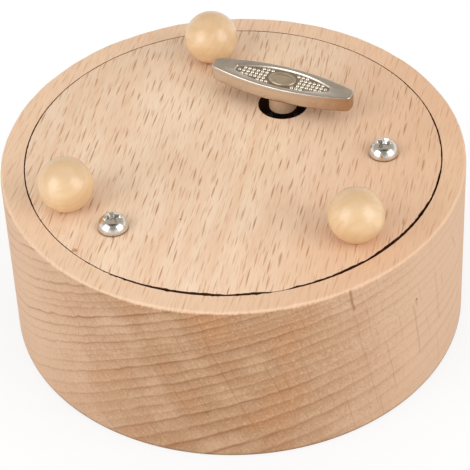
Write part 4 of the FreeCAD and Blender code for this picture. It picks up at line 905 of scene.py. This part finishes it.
class MUSICBOX_OT_make_balls(bpy.types.Operator):
    """Turn the three lacquered balls, each flat where it is glued on"""
    bl_idname = "musicbox.make_balls"
    bl_label = "Make Balls"

    def execute(self, context):
        top_angle, steps, corners = 88.5, 40, 64
        tilts = ((0.5, 0.2, 0.9), (1.2, 0.6, 0.2), (0.3, 1.25, 0.5))
        for index, tilt in enumerate(tilts, start=1):
            low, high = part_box(f"foot_{index}")
            centre, radius = (low + high) / 2, (high.x - low.x) / 2
            level = high.z - radius
            start = math.degrees(math.asin((low.z - level) / radius))
            ball = loft(f"ball_{index}", circles(arc(0, level, radius, start, top_angle, steps), corners))
            move(ball, centre.x, centre.y)
            dress(ball, ball_wood(index, tilt), "case", f"foot_{index}")
        return {"FINISHED"}


# ------------------------------------------------------------------ screws

def screw_spots():
    """The two screws' axes, from the box that holds both."""
    radius = settings().screws.head_radius
    first = Vector((SCREWS_LOW.x + radius, SCREWS_LOW.y + radius, TOP))
    second = Vector((SCREWS_HIGH.x - radius, SCREWS_HIGH.y - radius, TOP))
    return first, second


def joined(graph, points, piece, material, rotation=(0, 0, 0)):
    """End a tree with copies of a piece at its points, as a plain mesh with a material."""
    copies = graph.add("GeometryNodeInstanceOnPoints", {
        "Points": points.outputs[0], "Instance": piece, "Rotation": rotation,
    })
    solid = graph.add("GeometryNodeRealizeInstances", {0: copies.outputs[0]}).outputs[0]
    dressed = graph.add("GeometryNodeSetMaterial", {"Geometry": solid, "Material": material})
    return graph.give(dressed.outputs[0])


def row_tree():
    """Repeat a mesh at the points of a line, each turned a step further, and join the copies."""
    graph, given = new_group(
        "Screws in a row", "GeometryNodeTree",
        (("Geometry", "Geometry"), ("Count", "Int"), ("First place", "Vector"), ("Step", "Vector"),
         ("First turn", "Float"), ("Turn step", "Float"), ("Material", "Material")),
        ("Geometry", "Geometry"),
    )
    line = graph.add("GeometryNodeMeshLine", {
        "Count": given["Count"], "Start Location": given["First place"], "Offset": given["Step"],
    }, mode="OFFSET")
    index = graph.add("GeometryNodeInputIndex").outputs[0]
    turn = graph.times_plus(index, given["Turn step"], given["First turn"])
    return joined(graph, line, given["Geometry"], given["Material"], graph.join(0.0, 0.0, turn))


class MUSICBOX_OT_make_screws(bpy.types.Operator):
    """Form one pan-head screw with its cross recess and set it in both places"""
    bl_idname = "musicbox.make_screws"
    bl_label = "Make Screws"

    def execute(self, context):
        size = settings().screws
        low, high, radius = SCREWS_LOW.z - TOP, size.head_height, size.head_radius
        thread, steps = 1.5 * MM, 15
        outline = [(0.35 * MM, low), (1.2 * MM, low), (thread, low + 0.35 * MM), (thread, -0.02 * MM)]
        outline += [(radius * 0.97, 0.0), (radius, 0.05 * MM)]
        for turn in (math.radians(90 * k / steps) for k in range(1, steps)):
            outline.append((radius * math.cos(turn) ** 0.74, high * math.sin(turn) ** 0.98))
        screw = loft("set_screws", circles(outline, 96), SHARP_METAL)
        cross = []
        for grown, depth in ((1.12, -0.3 * MM), (1.0, 0.15 * MM), (0.66, size.recess_depth)):
            reach, half = size.recess_reach * grown, size.recess_width / 2 * (grown + 1) / 2
            corners = [(reach, -half), (reach, half), (half, half), (half, reach), (-half, reach)]
            corners.append((-half, half))
            corners += [(-x, -y) for x, y in corners]
            cross.append([Vector((x, y, high - depth)) for x, y in corners])
        cut(screw, [loft("cutter", cross)], SHARP_METAL)
        soften = screw.modifiers.new("Soften", "BEVEL")
        soften.width = 0.05 * MM
        soften.segments = 2
        soften.limit_method = "ANGLE"
        soften.angle_limit = math.radians(35)
        keep_result(screw)
        screw.data.set_sharp_from_angle(angle=SHARP_METAL)
        first, second = screw_spots()
        nickel = metal("Nickel screws", settings().colours.screw, 0.17, depth=0.002, mottling=0.03)
        # painted shade and dirt round the foot of each head
        shade_and_dirt_below(nickel, TOP, TOP + 0.55 * MM, "screw foot shade and dirt")
        run_tree(
            screw, row_tree(), count=2, first_place=first, step=second - first,
            first_turn=size.first_turn, turn_step=size.turn_step, material=nickel,
        )
        dress(screw, nickel, "case", "movement_screws")
        return {"FINISHED"}


# ------------------------------------------------------------------ key

def dot_tree():
    """A square field of small domes inside a lens, left out around the oval in its middle."""
    names = (
        "Half length", "Half width", "Half end", "Oval length", "Oval width", "Step", "Dot radius", "Floor",
    )
    graph, given = new_group(
        "Dot field", "GeometryNodeTree",
        [("Geometry", "Geometry"), *((name, "Float") for name in names), ("Material", "Material")],
        ("Geometry", "Geometry"),
    )
    half_length, half_width, half_end, oval_length, oval_width, step, dot, floor = (given[n] for n in names)
    squared = lambda value, reach: graph.math("POWER", graph.size(graph.over(value, reach)), 2.0)
    across = graph.math("FLOOR", graph.over(half_length, step))
    up = graph.math("FLOOR", graph.over(half_width, step))
    grid = graph.add("GeometryNodeMeshGrid", {
        "Size X": graph.times(across, 2.0, step), "Size Y": graph.times(up, 2.0, step),
        "Vertices X": graph.times_plus(across, 2.0, 1.0), "Vertices Y": graph.times_plus(up, 2.0, 1.0),
    })
    x, y, _ = graph.split(graph.add("GeometryNodeInputPosition").outputs[0])
    narrowing = graph.times(squared(x, half_length), graph.minus(half_width, half_end))
    room = graph.minus(half_width, narrowing)
    outside = graph.math("GREATER_THAN", graph.math("ADD", graph.size(y), graph.times(dot, 1.1)), room)
    oval = graph.math("ADD", squared(x, oval_length), squared(y, oval_width))
    kept = graph.add("GeometryNodeDeleteGeometry", {
        "Geometry": grid.outputs[0],
        "Selection": graph.math("MAXIMUM", outside, graph.math("LESS_THAN", oval, 1.0)),
    })
    raised = graph.add("GeometryNodeTransform", {
        "Geometry": kept.outputs[0], "Translation": graph.join(0.0, 0.0, floor),
    })
    dome = graph.add("GeometryNodeMeshIcoSphere", {"Radius": dot, "Subdivisions": 2})
    low = graph.add("GeometryNodeTransform", {"Geometry": dome.outputs[0], "Scale": (1.0, 1.0, 0.75)})
    return joined(graph, raised, low.outputs[0], given["Material"])


def make_grip(key, low, high, floor):
    """The grip with its softened edges and the sunk panel."""
    grip_size = (key.half_length, key.half_width, key.half_end)
    panel_size = (key.panel_length, key.panel_width, key.panel_end)
    panel_corner = 0.25 * MM
    rings = [
        lens_outline(*grip_size, inset * MM, corner * MM, height) for inset, height, corner in (
            (1.1, low, 0.3), (0.42, low, 0.6), (0.2, low + 0.08 * MM, 0.7), (0.1, low + 0.25 * MM, 0.75),
            (0.02, high - 0.6 * MM, 0.8), (0.0, high - 0.2 * MM, 0.8), (0.05, high - 0.07 * MM, 0.8),
            (0.16, high, 0.8), (0.3, high, 0.75),
        )
    ]
    rings += [
        lens_outline(*panel_size, inset * MM, panel_corner, height) for inset, height in (
            (-0.14, high), (-0.03, high - 0.05 * MM), (0.04, high - 0.14 * MM), (0.16, floor + 0.04 * MM),
            (0.26, floor),
        )
    ]
    return loft("key_grip", rings, math.radians(50))


def make_oval(key, floor):
    """The oval: a ring around a plain, slightly domed middle."""
    rings = []
    for inset, rise in (
        (0.0, -0.1), (0.0, 0.12), (0.06, 0.25), (0.16, 0.3), (0.34, 0.27), (0.46, 0.08), (0.6, 0.06),
        (0.75, 0.14), (1.2, 0.2), (1.7, 0.22),
    ):
        reach, width = key.medal_length - inset * MM, key.medal_width - inset * MM
        ring = circle(1.0, 0.0, 64)
        rings.append([Vector((p.x * reach, p.y * width, floor + rise * MM)) for p in ring])
    return loft("key_oval", rings, math.radians(60))


def make_boss(key, low):
    """The boss, flared where it meets the grip, with the thread's bore in its end."""
    end, radius, bore = KEY_LOW.z, key.boss_radius, 1.98 * MM
    outline = [(0.0005, end + 4 * MM), (bore, end + 3.8 * MM), (bore, end + 0.1 * MM), (2.1 * MM, end)]
    outline += [(radius - 0.12 * MM, end), (radius, end + 0.12 * MM), (radius, low - 0.5 * MM)]
    outline += [(radius + 0.1 * MM, low - 0.18 * MM), (radius + 0.35 * MM, low + 0.02 * MM)]
    outline += [(radius * 0.5, low + 0.06 * MM)]
    return loft("key_boss", circles(outline, 64), SHARP_METAL)


class MUSICBOX_OT_make_key(bpy.types.Operator):
    """Cast the winding key: grip with a sunk dotted panel, a plain oval and the boss"""
    bl_idname = "musicbox.make_key"
    bl_label = "Make Winding Key"

    def execute(self, context):
        key = settings().key
        low, high = KEY_HIGH.z - key.thickness, KEY_HIGH.z
        floor = high - key.panel_depth
        grip, oval, boss = make_grip(key, low, high, floor), make_oval(key, floor), make_boss(key, low)
        dots = bpy.data.objects.new("key_dots", bpy.data.meshes.new("key_dots"))
        bpy.context.scene.collection.objects.link(dots)
        # the dots: the key's own metal made 1.5 times brighter, as painted highlights
        tone = tuple(min(1.0, channel * 1.5) for channel in settings().colours.key)
        bright = metal("Key dots", tone, 0.24, depth=0.002, mottling=0.04)
        run_tree(
            dots, dot_tree(), half_length=key.panel_length, half_width=key.panel_width, half_end=key.panel_end,
            oval_length=key.medal_length + key.dot_radius, oval_width=key.medal_width + key.dot_radius,
            step=key.dot_step, dot_radius=key.dot_radius, floor=floor, material=bright,
        )
        dots.data.shade_smooth()
        cast = key_finish(floor)
        dark = metal("Key oval", "oval", 0.42, grain=0.4, depth=0.012)
        # the boss: the key's metal painted warm tan and mostly matt, as painted reflection of the wood around
        # it
        rough = metal("Key boss", "boss", 0.5, grain=0.4, depth=0.02, metallic=0.35)
        spot = Matrix.Translation((KEY_AXIS.x, KEY_AXIS.y, 0)) @ Matrix.Rotation(key.turn, 4, "Z")
        for piece, material in ((grip, cast), (oval, dark), (boss, rough), (dots, bright)):
            piece.data.transform(spot)
            dress(piece, material, "key", "winding_key")
        return {"FINISHED"}


# ------------------------------------------------------------------ movement

class MUSICBOX_OT_dress_movement(bpy.types.Operator):
    """Give the movement inside the drum its metals, plastics and wood"""
    bl_idname = "musicbox.dress_movement"
    bl_label = "Dress Movement"

    def execute(self, context):
        for material, names in (
            (metal("Zinc casting", "zinc", 0.45, grain=0.5, depth=0.03, mottling=0.1),
             ("bedplate", "spring_case")),
            (metal("Bright steel", "steel", 0.26, stretch=(1, 1, 0.15), depth=0.004, mottling=0.05),
             ("winding_arbor", "ratchet_wheel", "arbor_ring", "cylinder_shaft", "comb", "comb_screws",
              "first_arbor", "second_arbor", "worm_shaft", "governor_bracket", "bracket_screw",
              "cylinder_pins")),
            (metal("Spring steel", "blued steel", 0.32, stretch=(1, 1, 0.2), depth=0.003, mottling=0.15),
             ("mainspring", "click_spring")),
            (metal("Brass", "brass", 0.28, stretch=(0.2, 1, 1), depth=0.004, mottling=0.08),
             ("cylinder_tube", "cylinder_ends", "drive_gear", "cylinder_pinion", "cylinder_gear")),
            (metal("Lead", "lead", 0.6, depth=0.02, mottling=0.12), ("comb_weights",)),
            (moulded("Gear plastic", "nylon", 0.42), ("first_wheel", "second_pinion", "worm_wheel", "fly")),
            (dowel_wood(), ("foot_dowels",)),
        ):
            for name in names:
                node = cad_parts[name]
                node.data.materials.clear()
                node.data.materials.append(material)
        return {"FINISHED"}


# ------------------------------------------------------------------ stage

WHITE = (1, 1, 1, 1)
TABLE_RADIUS = 6.0
TABLE_DROP = 0.02 * MM                        # below the drum's lower face
SOFTBOX_SIZE = (0.84, 1.0)
SOFTBOX_WAY, SOFTBOX_AWAY = (0.745, -0.46, 0.483), 1.2


def seen_directly(graph):
    """1 for rays from the camera, a mirror or a glass, and 0 for light that lands on surfaces."""
    path = graph.add("ShaderNodeLightPath").outputs
    direct = graph.math("MAXIMUM", path["Is Camera Ray"], path["Is Glossy Ray"])
    return graph.math("MAXIMUM", direct, path["Is Transmission Ray"])


def make_table():
    """The table: pale near the object, where it holds the shadow, and white further out."""
    shape = bmesh.new()
    bmesh.ops.create_circle(shape, cap_ends=True, segments=64, radius=TABLE_RADIUS)
    table = finished("table", shape)
    move(table, 0, 0, DRUM_LOW.z - TABLE_DROP)
    material, graph, shader, place = new_material("Pale table")
    base = graph.tint(TONES["table"], "table cloud", graph.noise(place, 0.02, 2.0))
    for name, value in (("Base Color", base), ("Roughness", 0.9), ("Specular IOR Level", 0.1)):
        graph.feed(shader.inputs[name], value)
    white = graph.add("ShaderNodeEmission", {"Color": WHITE, "Strength": 1.0}).outputs[0]
    away = graph.add("ShaderNodeVectorMath", {0: place}, operation="LENGTH").outputs["Value"]
    lit = graph.times(seen_directly(graph), graph.fade(away, 43.0, 80.0, 0.8, 1.0))
    both = graph.mix(lit, shader.outputs[0], white)
    # clear from below, so that the drum's lower face is seen
    below = graph.add("ShaderNodeNewGeometry").outputs["Backfacing"]
    clear = graph.add("ShaderNodeBsdfTransparent").outputs[0]
    output = next(node for node in graph.tree.nodes if node.type == "OUTPUT_MATERIAL")
    graph.feed(output.inputs["Surface"], graph.mix(below, both, clear))
    table.data.materials.append(material)


def make_room(stage):
    """The room: even light, white where it is seen, and a dark gap in polished metal."""
    world = bpy.data.worlds.new("Room")
    world.use_nodes = True
    world.node_tree.nodes.clear()
    graph = Graph(world.node_tree)
    to_right, to_back, height = graph.split(graph.place("Generated"))
    soft = graph.fade(height, 0.0, 1.0, stage.room_light * stage.room_low, stage.room_light)
    soft = graph.math("MAXIMUM", soft, graph.fade(height, -0.05, -0.4, 0.0, 0.8))
    even = graph.add("ShaderNodeBackground", {"Color": (1.0, 0.99, 0.975, 1), "Strength": soft})
    # the gap between the softboxes
    ahead = graph.fade(graph.times(to_back, -1.0), -0.05, 0.25)
    wide = graph.fade(height, 0.6, 0.92, 0.3, 0.7)
    beside = graph.fade(graph.over(graph.size(to_right), wide), 1.0, 0.6)
    gap = graph.times(ahead, beside, graph.fade(height, 0.86, 0.95, 0.3, 0.97))
    mirrored = graph.times(graph.fade(height, 0.1, 0.6, 1.0, 0.52), graph.minus(1.0, gap))
    camera_ray = graph.add("ShaderNodeLightPath").outputs["Is Camera Ray"]
    warm = graph.times(graph.fade(height, 0.1, 0.6), graph.minus(1.0, camera_ray))
    tone = graph.tint(WHITE, (0.97, 0.87, 0.74), warm)
    strength = graph.math("MAXIMUM", camera_ray, mirrored)
    plain = graph.add("ShaderNodeBackground", {"Color": tone, "Strength": strength})
    both = graph.mix(seen_directly(graph), even.outputs[0], plain.outputs[0])
    graph.add("ShaderNodeOutputWorld", {"Surface": both})
    bpy.context.scene.world = world


def make_softboxes(stage):
    for name, side in (("softbox_left", -1), ("softbox_right", 1)):
        light = bpy.data.lights.new(name, "AREA")
        light.shape = "RECTANGLE"
        light.size, light.size_y = SOFTBOX_SIZE
        light.energy = stage.softbox_power
        lamp = bpy.data.objects.new(name, light)
        lamp.location = SOFTBOX_AWAY * Vector((side * SOFTBOX_WAY[0], *SOFTBOX_WAY[1:]))
        lamp.rotation_euler = lamp.location.to_track_quat("Z", "Y").to_euler()
        bpy.context.scene.collection.objects.link(lamp)


def make_camera(stage):
    camera = bpy.data.cameras.new("camera")
    camera.lens = stage.lens
    camera.sensor_width = 36.0
    camera.clip_start = 0.01
    eye = bpy.data.objects.new("camera", camera)
    rise = stage.elevation
    ahead = Vector((0, math.cos(rise), -math.sin(rise)))
    upward = Vector((0, math.sin(rise), math.cos(rise)))
    across = Vector((1, 0, 0))
    turned = Matrix((across, upward, -ahead)).transposed().to_4x4()
    spot = across * stage.shift_right + upward * stage.shift_up - ahead * stage.distance
    eye.matrix_world = Matrix.Translation(spot) @ turned @ Matrix.Rotation(stage.roll, 4, "Z")
    bpy.context.scene.collection.objects.link(eye)
    bpy.context.scene.camera = eye


class MUSICBOX_OT_make_stage(bpy.types.Operator):
    """Set the table, the two softboxes, the room's light and the camera"""
    bl_idname = "musicbox.make_stage"
    bl_label = "Make Stage"

    def execute(self, context):
        stage = settings().stage
        bpy.context.scene.view_settings.view_transform = "Standard"
        make_table()
        make_room(stage)
        make_softboxes(stage)
        make_camera(stage)
        return {"FINISHED"}


class MUSICBOX_PT_panel(bpy.types.Panel):
    """The music box's settings and steps"""
    bl_idname = "MUSICBOX_PT_panel"
    bl_label = "Music Box"
    bl_space_type = "VIEW_3D"
    bl_region_type = "UI"
    bl_category = "Music Box"

    def draw(self, context):
        for name, group in GROUPS.items():
            box = self.layout.box()
            box.label(text=name.capitalize())
            for setting in group.__annotations__:
                box.prop(getattr(context.scene.music_box, name), setting)
        for operator in OPERATORS:
            self.layout.operator(operator.bl_idname)


OPERATORS = (
    MUSICBOX_OT_make_drum,
    MUSICBOX_OT_make_plate,
    MUSICBOX_OT_make_balls,
    MUSICBOX_OT_make_screws,
    MUSICBOX_OT_make_key,
    MUSICBOX_OT_dress_movement,
    MUSICBOX_OT_make_stage,
)
CLASSES = (*GROUPS.values(), MusicBoxSettings, *OPERATORS, MUSICBOX_PT_panel)


def register():
    for item in CLASSES:
        bpy.utils.register_class(item)
    bpy.types.Scene.music_box = bpy.props.PointerProperty(type=MusicBoxSettings)


def unregister():
    del bpy.types.Scene.music_box
    for item in reversed(CLASSES):
        bpy.utils.unregister_class(item)


def main():
    register()
    fleck_tree()
    bpy.ops.musicbox.make_drum()
    bpy.ops.musicbox.make_plate()
    bpy.ops.musicbox.make_balls()
    bpy.ops.musicbox.make_screws()
    bpy.ops.musicbox.make_key()
    bpy.ops.musicbox.dress_movement()
    bpy.ops.musicbox.make_stage()


if __name__ == "__main__":
    main()
